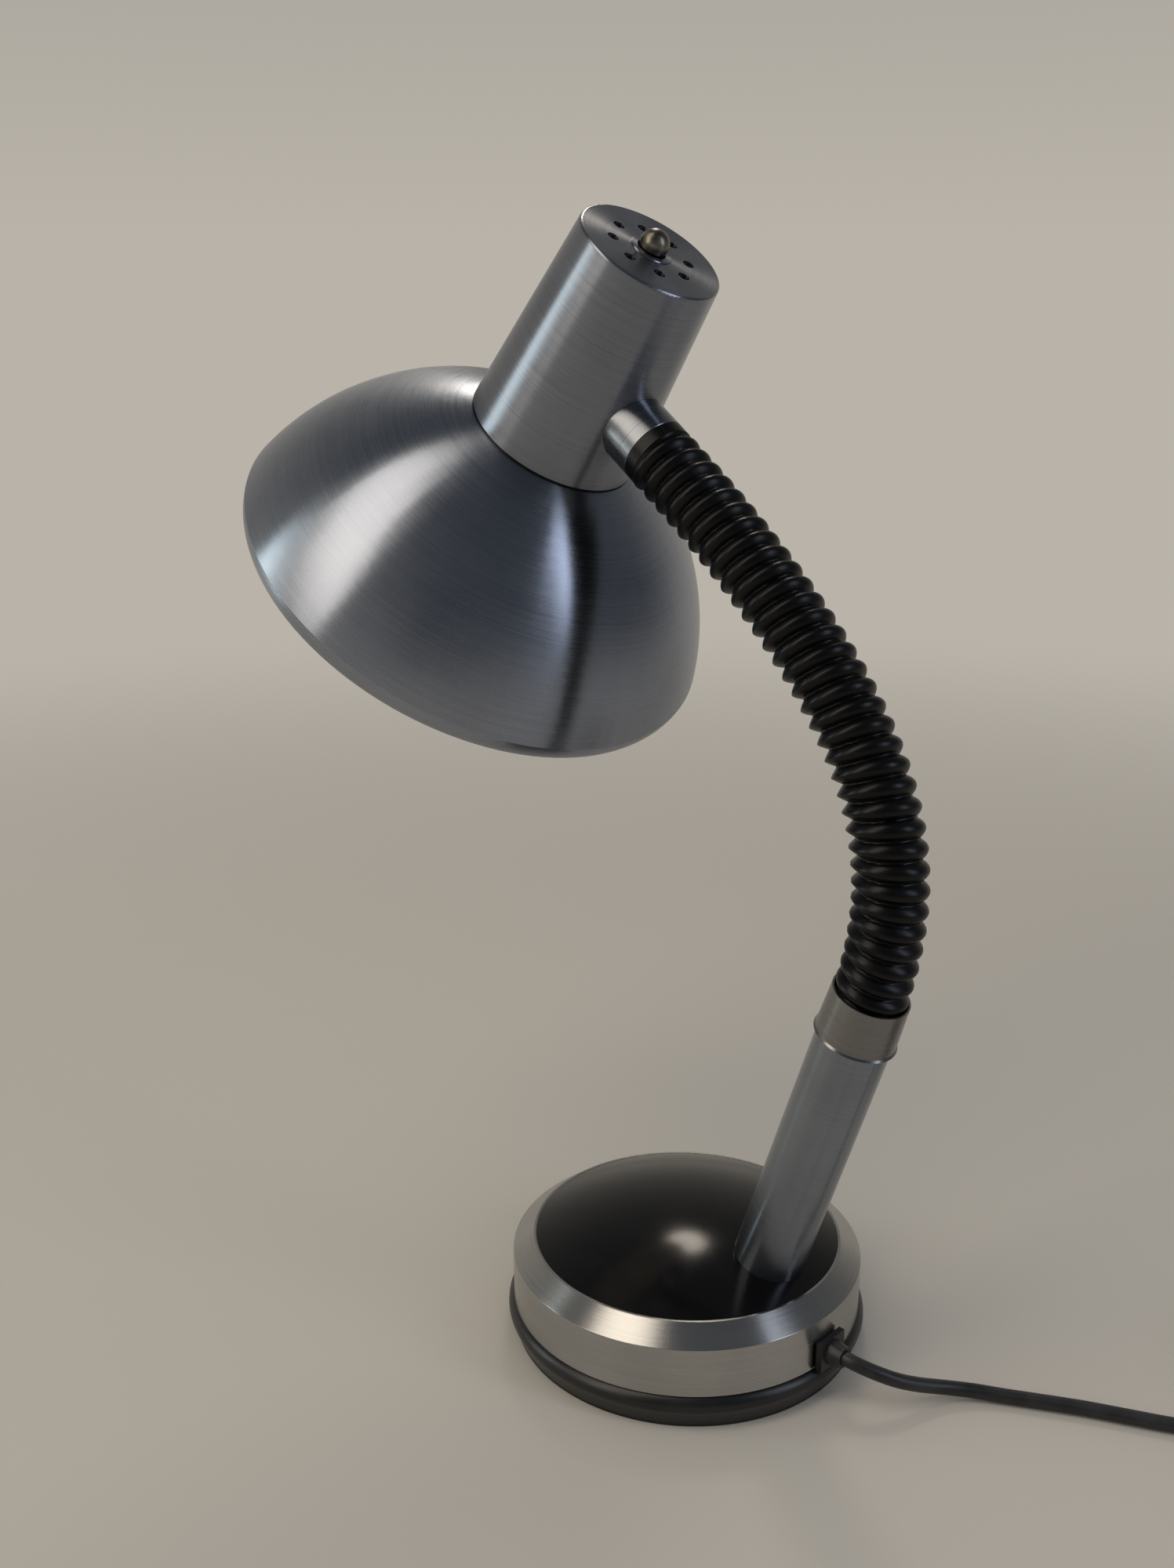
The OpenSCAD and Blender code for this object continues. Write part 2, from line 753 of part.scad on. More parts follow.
module core_last() {
    k = link_n - 1;
    len_z = chord_of(neck_turn[k]);
    color("#77797c")
        difference() {
            union() {
                at_link(k) {
                    core_ball();
                    core_body(ball_r + link_shoulder, len_z + core_reach);
                }
                hinge_pin(k);
            }
            at_link(k)
                cylinder(d = core_bore, h = 2 * deep, center = true);
        }
}

// ring of the sleeve: one helical rib, round on its crest
function rib_r(s, a) = sleeve_root_r + rib_h * pow(abs(sin((360 * s / rib_pitch + a) / 2)), 0.8);
function sleeve_ring(p, h, r, s, ribbed) = [for (j = [0:sleeve_sides - 1])
    let (a = 360 * j / sleeve_sides, q = ribbed ? rib_r(s, a) : r)
    p + q * (cos(a) * [0, 1, 0] + sin(a) * [-sin(h), 0, cos(h)])];
function hose_faces(m, w, n) = concat(
    [for (i = [0:m - 2]) each strip(i * n, (i + 1) * n, n)],
    [for (i = [0:w - 2]) each [for (f = strip((m + i) * n, (m + i + 1) * n, n)) [f[0], f[2], f[1]]]],
    [for (f = strip(0, m * n, n)) [f[0], f[2], f[1]]],
    strip((m - 1) * n, (m + w - 1) * n, n));
module hose(outer, inner) {
    n = sleeve_sides;
    points = concat([for (r = outer) each r], [for (r = inner) each r]);
    polyhedron(points, [for (f = hose_faces(len(outer), len(inner), n)) [f[0], f[2], f[1]]]);
}

// share of a link at ring i; the end rings stand back by half the gap between two sleeve pieces
end_share = link_gap / 2 / link_l;
function link_t(i) = min(1 - end_share, max(end_share, i / rib_steps));
function link_rings(k, first, last) = [for (i = [first:last])
    sleeve_ring(line_at(k, link_t(i)), line_head(k, link_t(i)), 0, (k + i / rib_steps) * link_l, true)];
function smooth_ring(k, t, r) = sleeve_ring(line_at(k, t), line_head(k, t), r, 0, false);
function bore_rings(k) = [for (i = [0, rib_steps / 3, 2 * rib_steps / 3, rib_steps])
    smooth_ring(k, link_t(i), sleeve_bore_r)];
// point on the straight stretch below the neck's bend
function below_foot(d) = neck_foot - d * ray_xz(heading(0));

module sleeve_link(k) {
    color("#141416")
        hose(link_rings(k, 0, rib_steps), bore_rings(k));
}

module sleeve_first() {
    stub = [for (i = [stub_rings:-1:1])
        sleeve_ring(below_foot(i * ring_step), heading(0), 0, -i * ring_step, true)];
    stub_bore = sleeve_ring(below_foot(stub_rings * ring_step), heading(0), sleeve_bore_r, 0, false);
    color("#141416")
        hose(concat(stub, link_rings(0, 0, rib_steps)), concat([stub_bore], bore_rings(0)));
}

module sleeve_last() {
    k = link_n - 1;
    cuff_t = 1 - cuff_l / link_l;
    cuff = [for (t = [cuff_t + 0.02, link_t(rib_steps)]) smooth_ring(k, t, cuff_r)];
    color("#141416")
        hose(concat(link_rings(k, 0, floor(cuff_t * rib_steps)), cuff), bore_rings(k));
}

// frame on the collar's axis, with its z pointing away from the housing
module at_collar() {
    translate([0, 0, -collar_drop])
        rotate([0, 90, 0])
            children();
}

module collar() {
    color("#b9bbbd")
        at_head()
            difference() {
                at_collar()
                    translate([0, 0, housing_r(collar_drop) - collar_sunk])
                        cylinder(r = collar_r, h = core_reach - housing_t - fit_gap);
                housing_solid(fit_gap / 2);
                at_collar()
                    cylinder(r = collar_in_r, h = deep);
            }
}

module collar_nut() {
    color("#c8b27a")
        at_head()
            at_collar()
                difference() {
                    translate([0, 0, collar_nut_x - collar_nut_h])
                        cylinder(r = collar_nut_r, h = collar_nut_h, $fn = 6);
                    cylinder(r = collar_in_r, h = deep);
                }
}

module housing_solid(grow) {
    corner_x = housing_top_r + grow + tan(taper) * housing_round - housing_round / cos(taper);
    rotate_extrude()
        difference() {
            polygon([
                [0, 0], [housing_top_r + grow, 0],
                [housing_low_r + grow, -housing_l], [0, -housing_l]]);
            difference() {
                translate([corner_x, -housing_round * (1 - sin(taper))])
                    square([2 * housing_round, 2 * housing_round]);
                translate([corner_x, -housing_round])
                    circle(r = housing_round);
            }
        }
}

module housing() {
    color("#b9bbbd")
        at_head()
            difference() {
                housing_solid(0);
                rotate_extrude()
                    polygon([
                        [0, -housing_t], [housing_in_r - housing_fillet, -housing_t],
                        [housing_in_r, -housing_t - housing_fillet],
                        [housing_low_r - housing_t, -housing_l],
                        [housing_low_r - housing_t, -housing_l - over], [0, -housing_l - over]]);
                for (i = [0:vent_n - 1])
                    rotate(360 * (i + vent_start) / vent_n)
                        translate([vent_r, 0, -housing_t])
                            cylinder(d = vent_d, h = 2 * (housing_t + over), center = true);
                cylinder(d = bush_barrel + 2 * fit_gap, h = 2 * bush_l, center = true);
                at_collar()
                    cylinder(r = core_r + fit_gap, h = deep);
            }
}

module switch_bush() {
    color("#c9b98e")
        at_head()
            rotate_extrude()
                difference() {
                    union() {
                        translate([bush_bore / 2, fit_gap / 2])
                            square([(bush_d - bush_bore) / 2, bush_h]);
                        translate([bush_bore / 2, -bush_l])
                            square([(bush_barrel - bush_bore) / 2, bush_l + bush_h]);
                    }
                    translate([bush_d / 2, bush_h + fit_gap / 2])
                        rotate(45)
                            square(bush_h, center = true);
                }
}

module switch_button() {
    color("#cdbf9a")
        at_head()
            union() {
                translate([0, 0, ball_knob_h])
                    sphere(d = ball_knob_d);
                translate([0, 0, -button_l])
                    cylinder(d = button_shaft, h = button_l + ball_knob_h);
            }
}

module switch_body() {
    color("#222224")
        at_head()
            difference() {
                union() {
                    translate([0, 0, -bush_l - switch_l])
                        cylinder(d = switch_d, h = switch_l - fit_gap / 2);
                    translate([0, 0, -bush_l - over])
                        cylinder(d = switch_d, h = bush_l + over - housing_t - fit_gap / 2);
                }
                translate([0, 0, -bush_l - fit_gap / 2])
                    cylinder(d = bush_barrel + 2 * fit_gap, h = deep);
                translate([0, 0, -button_l - press_stroke - move_gap])
                    cylinder(d = button_shaft + 2 * shaft_gap, h = deep);
            }
}

module holder_body() {
    color("#1a1a1b")
        at_head()
            difference() {
                union() {
                    rotate_extrude()
                        difference() {
                            union() {
                                translate([0, -holder_low])
                                    square([holder_r, holder_l - holder_round]);
                                translate([0, -holder_top - holder_round])
                                    square([holder_r - holder_round, holder_round]);
                                intersection() {
                                    translate([holder_r - holder_round, -holder_top - holder_round])
                                        circle(r = holder_round);
                                    translate([holder_r - holder_round, -holder_top - holder_round])
                                        square(holder_round);
                                }
                            }
                            translate([-1, -holder_low - 1])
                                square([shell_r + fit_gap + 1, holder_l - contact_drop + contact_t + 1]);
                        }
                    translate([0, 0, -holder_top - 1])
                        cylinder(d = spacer_d, h = holder_top + 1 - bush_l - switch_l - fit_gap);
                }
                translate([0, 0, -holder_top - contact_drop - over])
                    cylinder(d = spacer_bore, h = holder_top + contact_drop);
            }
}

module holder_shell() {
    color("#c9a94e")
        at_head()
            difference() {
                translate([0, 0, -holder_low + shell_inset])
                    cylinder(r = shell_r, h = shell_l);
                translate([0, 0, -holder_low + shell_inset - over / 2])
                    cylinder(r = shell_r - shell_t, h = shell_l + over);
            }
}

module holder_contact() {
    color("#c9a94e")
        at_head()
            union() {
                translate([-contact_l / 2, -contact_w / 2, -holder_top - contact_drop])
                    cube([contact_l, contact_w, contact_t]);
                translate([0, 0, -cap_top + fit_gap])
                    cylinder(d = contact_d, h = cap_top - fit_gap - holder_top - contact_drop + contact_t);
            }
}

module seam_gasket() {
    color("#0e0e0f")
        at_head()
            difference() {
                translate([0, 0, -housing_l - gasket_t + fit_gap / 2])
                    cylinder(r = housing_low_r - gasket_inset, h = gasket_t - fit_gap);
                translate([0, 0, -housing_l])
                    cylinder(r = shade_hole_r, h = deep, center = true);
            }
}

module shade_profile(grow) {
    intersection() {
        translate([dome_mid_r, -dome_mid_l])
            circle(r = shade_curve_r - grow, $fn = 128);
        translate([0, -shade_wide_l])
            square([shade_d, shade_wide_l - shade_seat_l - grow]);
    }
    intersection() {
        translate([shade_r - rim_turn_r, -shade_wide_l])
            circle(r = rim_turn_r - grow);
        translate([0, -shade_rim_l - 0.01])
            square([shade_d, shade_rim_l - shade_wide_l + 0.02]);
    }
    translate([0, -shade_rim_l])
        square([shade_r - rim_turn_r, shade_rim_l - shade_wide_l + 0.02]);
}

module shade() {
    color("#b4b6b9")
        at_head()
            difference() {
                rotate_extrude($fn = 128)
                    shade_profile(0);
                rotate_extrude($fn = 128)
                    union() {
                        shade_profile(shade_t);
                        translate([0, -shade_rim_l - over])
                            square([shade_r - rim_turn_r, over + 0.02]);
                    }
                translate([0, 0, -shade_seat_l])
                    cylinder(r = shade_hole_r, h = 2 * (shade_t + over), center = true);
            }
}

module shade_ring() {
    color("#1a1a1b")
        at_head()
            translate([0, 0, -shade_seat_l - shade_t - fit_gap - screw_ring_h])
                difference() {
                    cylinder(r = holder_r + screw_ring_w, h = screw_ring_h);
                    translate([0, 0, -over / 2])
                        cylinder(r = holder_r + fit_gap, h = screw_ring_h + over);
                }
}

module bulb_cap() {
    color("#c7c8ca")
        at_head()
            rotate_extrude()
                polygon([
                    [0, -cap_top], [cap_tip_r, -cap_top], [cap_tip_r, -cap_top - cap_tip_l],
                    [cap_r, -cap_top - 2 * cap_tip_l], [cap_r, -cap_low], [0, -cap_low]]);
}

module bulb_body() {
    color("#e9e8e4")
        at_head()
            rotate_extrude()
                polygon([
                    [0, -cap_low - fit_gap], [cap_r + 0.4, -cap_low - fit_gap],
                    [cap_r + bulb_step, -cap_low - 4], [cap_r + bulb_step, -holder_low - 1],
                    [globe_r - 1, globe_z + globe_neck_l], [0, globe_z + globe_neck_l]]);
}

module bulb_globe() {
    color("#fff3d6")
        at_head()
            translate([0, 0, globe_z])
                difference() {
                    union() {
                        sphere(r = globe_r);
                        cylinder(r1 = globe_r, r2 = globe_r - 1, h = globe_neck_l - fit_gap);
                    }
                    sphere(r = globe_r - globe_t);
                    cylinder(r1 = globe_r - globe_t, r2 = globe_r - 1 - globe_t, h = globe_neck_l);
                    translate([0, 0, globe_neck_l - fit_gap])
                        cylinder(r = globe_r + 1, h = globe_r);
                }
}

module cord() {
    color("#18181a")
        tube(concat([[clamp_x - over, 0, gland_z], [clamp_x + clamp_l, 0, gland_z]], cord_route),
            cord_d / 2, 8);
}

module cord_coil() {
    color("#18181a")
        tube(coil_route, cord_d / 2, 6);
}

module coil_tie() {
    tie_out = max(coil_out_r - coil_pitch * tie_turn / 360, coil_end_r) + cord_d / 2 + move_gap;
    tie_in = coil_in_r - cord_d / 2;
    wide = tie_out - tie_in;
    high = coil_lift + cord_d + move_gap;
    color("#2b2b2d")
        translate([coil_mid[0], coil_mid[1], 0])
            rotate(coil_from + tie_turn)
                translate([tie_in - tie_t, -tie_w / 2, 0])
                    difference() {
                        cube([wide + 2 * tie_t, tie_w, high + 2 * tie_t]);
                        translate([tie_t, -1, tie_t - fit_gap])
                            cube([wide, tie_w + 2, high + fit_gap]);
                    }
}

module at_plug() {
    translate(tail_pt(tail_l) - [0, 0, tail_pt(tail_l)[2]])
        rotate(coil_end_a + 90)
            children();
}

module plug_body() {
    color("#161617")
        at_plug()
            difference() {
                linear_extrude(height = plug_h)
                    polygon([
                        [-plug_tail_l, -plug_tail_w / 2], [plug_neck_l, -plug_neck_w / 2],
                        [plug_shoulder, -plug_w / 2], [plug_l, -plug_w / 2],
                        [plug_l, plug_w / 2], [plug_shoulder, plug_w / 2],
                        [plug_neck_l, plug_neck_w / 2], [-plug_tail_l, plug_tail_w / 2]]);
                translate([0, 0, plug_h / 2])
                    rotate([0, -90, 0])
                        cylinder(d = cord_d + 2 * fit_gap, h = plug_tail_l + over);
                translate([grip_x, -plug_w, plug_h - grip_deep])
                    cube([grip_w, 2 * plug_w, over]);
            }
}

module plug_pins() {
    color("#c9cacc")
        at_plug()
            for (y = [-plug_pin_gap / 2, plug_pin_gap / 2])
                translate([plug_l + fit_gap / 2, y, plug_h / 2])
                    rotate([0, 90, 0])
                        union() {
                            cylinder(d = plug_pin_d, h = plug_pin_l);
                            translate([0, 0, plug_pin_l])
                                cylinder(d1 = plug_pin_d, d2 = plug_pin_d * 0.6, h = plug_pin_tip);
                        }
}

foot_ring();
base_ring();
base_plate();
ballast();
bottom_cover();
cover_screws();
stem();
stem_nipple();
stem_nut();
cord_gland();
cord_clamp();
terminal_block();
ferrule();
core_first();  // core_1
core_link(1);  // core_2
core_link(2);  // core_3
core_link(3);  // core_4
core_link(4);  // core_5
core_link(5);  // core_6
core_link(6);  // core_7
core_link(7);  // core_8
core_link(8);  // core_9
core_link(9);  // core_10
core_last();  // core_11
sleeve_first();  // sleeve_1
sleeve_link(1);  // sleeve_2
sleeve_link(2);  // sleeve_3
sleeve_link(3);  // sleeve_4
sleeve_link(4);  // sleeve_5
sleeve_link(5);  // sleeve_6
sleeve_link(6);  // sleeve_7
sleeve_link(7);  // sleeve_8
sleeve_link(8);  // sleeve_9
sleeve_link(9);  // sleeve_10
sleeve_last();  // sleeve_11
collar();
collar_nut();
housing();
switch_bush();
switch_button();
switch_body();
holder_body();
holder_shell();
holder_contact();
seam_gasket();
shade();
shade_ring();
bulb_cap();
bulb_body();
bulb_globe();
cord();
cord_coil();
coil_tie();
plug_body();
plug_pins();
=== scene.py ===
import math

import bpy
from mathutils import Matrix, Vector


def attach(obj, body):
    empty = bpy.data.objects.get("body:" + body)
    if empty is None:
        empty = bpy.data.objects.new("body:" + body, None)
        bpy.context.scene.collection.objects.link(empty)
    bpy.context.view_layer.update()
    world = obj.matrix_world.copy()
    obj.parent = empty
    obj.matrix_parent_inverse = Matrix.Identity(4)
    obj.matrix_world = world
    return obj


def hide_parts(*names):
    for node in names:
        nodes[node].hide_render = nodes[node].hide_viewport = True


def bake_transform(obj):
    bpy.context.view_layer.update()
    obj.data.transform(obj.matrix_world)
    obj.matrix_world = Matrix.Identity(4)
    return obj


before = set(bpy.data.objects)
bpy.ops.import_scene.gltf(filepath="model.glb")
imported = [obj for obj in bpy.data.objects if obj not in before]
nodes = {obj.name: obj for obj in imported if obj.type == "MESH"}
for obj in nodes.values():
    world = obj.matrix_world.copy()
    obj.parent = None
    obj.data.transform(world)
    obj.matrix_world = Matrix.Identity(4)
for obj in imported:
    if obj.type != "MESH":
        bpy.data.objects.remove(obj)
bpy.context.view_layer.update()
scene = bpy.context.scene
scene.view_settings.view_transform = "Standard"


# Camera, floor and light: the camera stands where the photograph was taken, a little above the lamp's head.
# The floor is plain paper in a pale beige, which runs into a backdrop that is dim on the right.
# Four soft panels and an even fill light the lamp as in a small studio.
eye = Vector((0.37147, -0.44600, 0.40628))
look = Vector((-0.66530, 0.69110, -0.28241)).normalized()
across = look.cross(Vector((0, 0, 1))).normalized()
rise = across.cross(look)
camera_data = bpy.data.cameras.new("photo_camera")
camera_data.sensor_fit = "VERTICAL"
camera_data.sensor_height = 36.0
camera_data.lens = 36.0
camera_data.clip_start = 0.01
camera_data.clip_end = 50.0
camera = bpy.data.objects.new("photo_camera", camera_data)
camera.matrix_world = Matrix.Translation(eye) @ Matrix((across, rise, -look)).transposed().to_4x4()
scene.collection.objects.link(camera)
scene.camera = camera


def linear(code):
    """A colour written as sRGB hex, as Blender's linear red, green, blue and alpha."""
    parts = [int(code[i:i + 2], 16) / 255 for i in (1, 3, 5)]
    return [p / 12.92 if p <= 0.04045 else ((p + 0.055) / 1.055) ** 2.4 for p in parts] + [1.0]


def add(tree, kind, inputs=(), **settings):
    """Adds a node with its settings, and sets or links its inputs by socket name or number."""
    node = tree.nodes.new(kind)
    for key, value in settings.items():
        setattr(node, key, value)
    for key, value in dict(inputs).items():
        if isinstance(value, bpy.types.NodeSocket):
            tree.links.new(value, node.inputs[key])
        else:
            node.inputs[key].default_value = value
    return node


def new_material(name):
    """A new material, its node tree and its shader."""
    material = bpy.data.materials.new(name)
    material.use_nodes = True
    return material, material.node_tree, material.node_tree.nodes["Principled BSDF"]


pale = linear("#b9b3a9")
dim = linear("#54585d")
floor_half = 6.0
floor_drop = 0.0003
backdrop_from = 0.45
backdrop_to = 1.6
dim_from = 0.3
dim_to = 1.5
fill_strength = 0.48
paper, tree, shader = new_material("matt_paper_floor")
shader.inputs["Base Color"].default_value = pale
shader.inputs["Roughness"].default_value = 0.85
shader.inputs["Specular IOR Level"].default_value = 0.2
place = add(tree, "ShaderNodeTexCoord")
away = add(tree, "ShaderNodeVectorMath", {0: place.outputs["Object"]}, operation="LENGTH")
far = add(tree, "ShaderNodeMapRange",
          {"Value": away.outputs["Value"], "From Min": backdrop_from, "From Max": backdrop_to},
          interpolation_type="SMOOTHSTEP")
sides = add(tree, "ShaderNodeSeparateXYZ", {0: place.outputs["Object"]})
shaded = add(tree, "ShaderNodeMapRange",
             {"Value": sides.outputs["X"], "From Min": dim_from, "From Max": dim_to},
             interpolation_type="SMOOTHSTEP")
sweep = add(tree, "ShaderNodeMix", {"Factor": shaded.outputs[0], 6: pale, 7: dim}, data_type="RGBA")
backdrop = add(tree, "ShaderNodeEmission", {"Color": sweep.outputs[2], "Strength": 1.0})
joined = add(tree, "ShaderNodeMixShader", {0: far.outputs[0], 1: shader.outputs[0], 2: backdrop.outputs[0]})
tree.links.new(joined.outputs[0], tree.nodes["Material Output"].inputs["Surface"])
floor_mesh = bpy.data.meshes.new("floor")
floor_corners = [(x * floor_half, y * floor_half, 0) for x, y in ((-1, -1), (1, -1), (1, 1), (-1, 1))]
floor_mesh.from_pydata(floor_corners, [], [(0, 1, 2, 3)])
floor_mesh.materials.append(paper)
floor = bpy.data.objects.new("floor", floor_mesh)
floor.location.z = -floor_drop
scene.collection.objects.link(floor)

# The studio's right side and its top are dim, so that the metal has dark streaks beside the bright ones.
world = bpy.data.worlds.new("studio")
scene.world = world
world.use_nodes = True
sky = world.node_tree
sky.nodes.clear()
ray = add(sky, "ShaderNodeLightPath")
around = add(sky, "ShaderNodeTexCoord")
sides = add(sky, "ShaderNodeSeparateXYZ", {0: around.outputs["Generated"]})
shaded = add(sky, "ShaderNodeMapRange", {"Value": sides.outputs["X"], "From Min": -0.35, "From Max": 0.7},
             interpolation_type="SMOOTHSTEP")
sweep = add(sky, "ShaderNodeMix", {"Factor": shaded.outputs[0], 6: pale, 7: dim}, data_type="RGBA")
above = add(sky, "ShaderNodeMapRange", {"Value": sides.outputs["Z"], "From Min": 0.05, "From Max": 0.9})
dusk = add(sky, "ShaderNodeMix", {"Factor": above.outputs[0], 6: sweep.outputs[2], 7: dim},
           data_type="RGBA")
lit = add(sky, "ShaderNodeBackground", {"Color": linear("#eef1f5"), "Strength": fill_strength})
shown = add(sky, "ShaderNodeBackground", {"Color": dusk.outputs[2], "Strength": 1.0})
seen = add(sky, "ShaderNodeMath", {0: ray.outputs["Is Camera Ray"], 1: ray.outputs["Is Glossy Ray"]},
           operation="MAXIMUM")
seen_through = add(sky, "ShaderNodeMath", {0: seen.outputs[0], 1: ray.outputs["Is Transmission Ray"]},
                   operation="MAXIMUM")
both = add(sky, "ShaderNodeMixShader", {0: seen_through.outputs[0], 1: lit.outputs[0], 2: shown.outputs[0]})
add(sky, "ShaderNodeOutputWorld", {"Surface": both.outputs[0]})

for name, place, target, wide, high, watts, colour in (
    ("key_panel", (-0.29, -1.12, 1.38), (-0.05, 0, 0.28), 0.75, 2.4, 12.0, "#fff3e2"),
    ("left_panel", (-1.10, -0.91, 0.50), (0.0, 0, 0.30), 0.25, 0.8, 2.5, "#e9f6f4"),
    ("side_panel", (1.25, 0.35, 0.75), (0.0, 0, 0.25), 0.35, 1.2, 4.0, "#e4ecff"),
    ("back_panel", (-0.62, 0.75, 1.43), (-0.02, 0, 0.15), 0.30, 0.30, 3.0, "#fff3e2"),
):
    panel_data = bpy.data.lights.new(name, "AREA")
    panel_data.shape = "ELLIPSE"
    panel_data.size = wide
    panel_data.size_y = high
    panel_data.energy = watts
    panel_data.color = linear(colour)[:3]
    panel = bpy.data.objects.new(name, panel_data)
    panel.location = place
    panel.rotation_euler = (Vector(target) - Vector(place)).to_track_quat("-Z", "Y").to_euler()
    scene.collection.objects.link(panel)


# Foot ring: a moulded ring of black rubber with a bead at its edge, pressed onto the ring's lower edge.
# Rubber is dull, with a fine grain from the mould and a little dust in it.
def dress(material, *names):
    """Gives CAD nodes their finish."""
    for name in names:
        nodes[name].material_slots[0].material = material


def mottled(name, patch, dark, light, smooth, rough, low=0.0, high=1.0, metal=0.0):
    """A material that varies in patches of this width, from dark and smooth to light and rough.
    The colour changes where the noise is between low and high."""
    material, tree, shader = new_material(name)
    place = add(tree, "ShaderNodeTexCoord")
    noise = add(tree, "ShaderNodeTexNoise",
                {"Vector": place.outputs["Object"], "Scale": 1 / patch, "Detail": 4.0})
    share = add(tree, "ShaderNodeMapRange",
                {"Value": noise.outputs["Fac"], "From Min": low, "From Max": high})
    tone = add(tree, "ShaderNodeMix", {"Factor": share.outputs[0], 6: linear(dark), 7: linear(light)},
               data_type="RGBA")
    gloss = add(tree, "ShaderNodeMapRange",
                {"Value": noise.outputs["Fac"], "To Min": smooth, "To Max": rough})
    tree.links.new(tone.outputs[2], shader.inputs["Base Color"])
    tree.links.new(gloss.outputs[0], shader.inputs["Roughness"])
    shader.inputs["Metallic"].default_value = metal
    return material, tree, shader


def raise_grain(tree, shader, width, strength, height):
    """Gives a material a fine raised grain of this width and height."""
    place = add(tree, "ShaderNodeTexCoord")
    grain = add(tree, "ShaderNodeTexNoise",
                {"Vector": place.outputs["Object"], "Scale": 1 / width, "Detail": 3.0})
    raised = add(tree, "ShaderNodeBump",
                 {"Height": grain.outputs["Fac"], "Strength": strength, "Distance": height})
    tree.links.new(raised.outputs[0], shader.inputs["Normal"])


rubber, tree, shader = mottled("moulded_black_rubber", patch=0.018, dark="#0d0d0e", light="#19191b",
                               smooth=0.26, rough=0.44, low=0.42, high=0.72)
raise_grain(tree, shader, width=0.0012, strength=0.12, height=0.0003)
dress(rubber, "foot_ring")


# Base ring: aluminium spun to an upright wall and a wide bevel, brushed round its axis.
# Brushing leaves rings about 0.2 mm apart, which stretch a highlight across them; they are drawn at 0.4 mm
# to show.
def turned_aluminium(name, middle, tilt, light, dark, rough, line, length, lay):
    """Aluminium worked on a lathe round an axis through middle, which leans by tilt.
    Its rings are line apart and change within this length; lay is how far they stretch a highlight."""
    cloud_width = 0.045
    cloud_share = 0.5
    line_share = 0.6
    groove_depth = 0.0001
    material, tree, shader = new_material(name)
    place = add(tree, "ShaderNodeTexCoord")
    own = add(tree, "ShaderNodeMapping",
              {"Vector": place.outputs["Object"], "Location": middle, "Rotation": (0, tilt, 0)},
              vector_type="TEXTURE")
    flat = add(tree, "ShaderNodeVectorMath", {0: own.outputs[0], 1: (1, 1, 0)}, operation="MULTIPLY")
    radius = add(tree, "ShaderNodeVectorMath", {0: flat.outputs[0]}, operation="LENGTH")
    axes = add(tree, "ShaderNodeSeparateXYZ", {0: own.outputs[0]})
    along = add(tree, "ShaderNodeMath", {0: radius.outputs["Value"], 1: axes.outputs["Z"]},
                operation="SUBTRACT")
    fine = add(tree, "ShaderNodeMath", {0: along.outputs[0], 1: 1 / line}, operation="MULTIPLY")
    slow = add(tree, "ShaderNodeVectorMath", {0: flat.outputs[0], "Scale": 1 / length}, operation="SCALE")
    slow_xy = add(tree, "ShaderNodeSeparateXYZ", {0: slow.outputs[0]})
    ring = add(tree, "ShaderNodeCombineXYZ",
               {0: fine.outputs[0], 1: slow_xy.outputs[0], 2: slow_xy.outputs[1]})
    lines = add(tree, "ShaderNodeTexNoise",
                {"Vector": ring.outputs[0], "Scale": 1.0, "Detail": 3.0, "Roughness": 0.65})
    cloud = add(tree, "ShaderNodeTexNoise",
                {"Vector": place.outputs["Object"], "Scale": 1 / cloud_width, "Detail": 3.0})
    strong = add(tree, "ShaderNodeMath", {0: lines.outputs["Fac"], 1: line_share}, operation="MULTIPLY")
    worn = add(tree, "ShaderNodeMath", {0: cloud.outputs["Fac"], 1: cloud_share, 2: strong.outputs[0]},
               operation="MULTIPLY_ADD")
    tone = add(tree, "ShaderNodeValToRGB", {0: worn.outputs[0]})
    tone.color_ramp.elements[0].position = 0.38
    tone.color_ramp.elements[0].color = linear(dark)
    tone.color_ramp.elements[1].position = 0.74
    tone.color_ramp.elements[1].color = linear(light)
    gloss = add(tree, "ShaderNodeMapRange",
                {"Value": worn.outputs[0], "From Min": 0.35, "From Max": 0.75,
                 "To Min": rough - 0.03, "To Max": rough + 0.04})
    groove = add(tree, "ShaderNodeBump",
                 {"Height": lines.outputs["Fac"], "Strength": 0.025, "Distance": groove_depth})
    crosswise = add(tree, "ShaderNodeVectorMath", {0: (0, 0, 1), 1: own.outputs[0]},
                    operation="CROSS_PRODUCT")
    upright = add(tree, "ShaderNodeVectorRotate",
                  {"Vector": crosswise.outputs[0], "Rotation": (0, tilt, 0)},
                  rotation_type="EULER_XYZ")
    round_it = add(tree, "ShaderNodeVectorTransform", {0: upright.outputs[0]}, vector_type="VECTOR",
                   convert_from="OBJECT", convert_to="WORLD")
    tree.links.new(tone.outputs[0], shader.inputs["Base Color"])
    tree.links.new(gloss.outputs[0], shader.inputs["Roughness"])
    tree.links.new(groove.outputs[0], shader.inputs["Normal"])
    tree.links.new(round_it.outputs[0], shader.inputs["Tangent"])
    shader.inputs["Metallic"].default_value = 1.0
    shader.inputs["Anisotropic"].default_value = lay
    shader.inputs["Anisotropic Rotation"].default_value = 0.25
    return material


ring_aluminium = turned_aluminium("brushed_aluminium_ring", middle=(0, 0, 0), tilt=0.0, light="#b7b6b3",
                                  dark="#9f9e9c", rough=0.24, line=0.0004, length=0.06, lay=0.8)
dress(ring_aluminium, "base_ring")


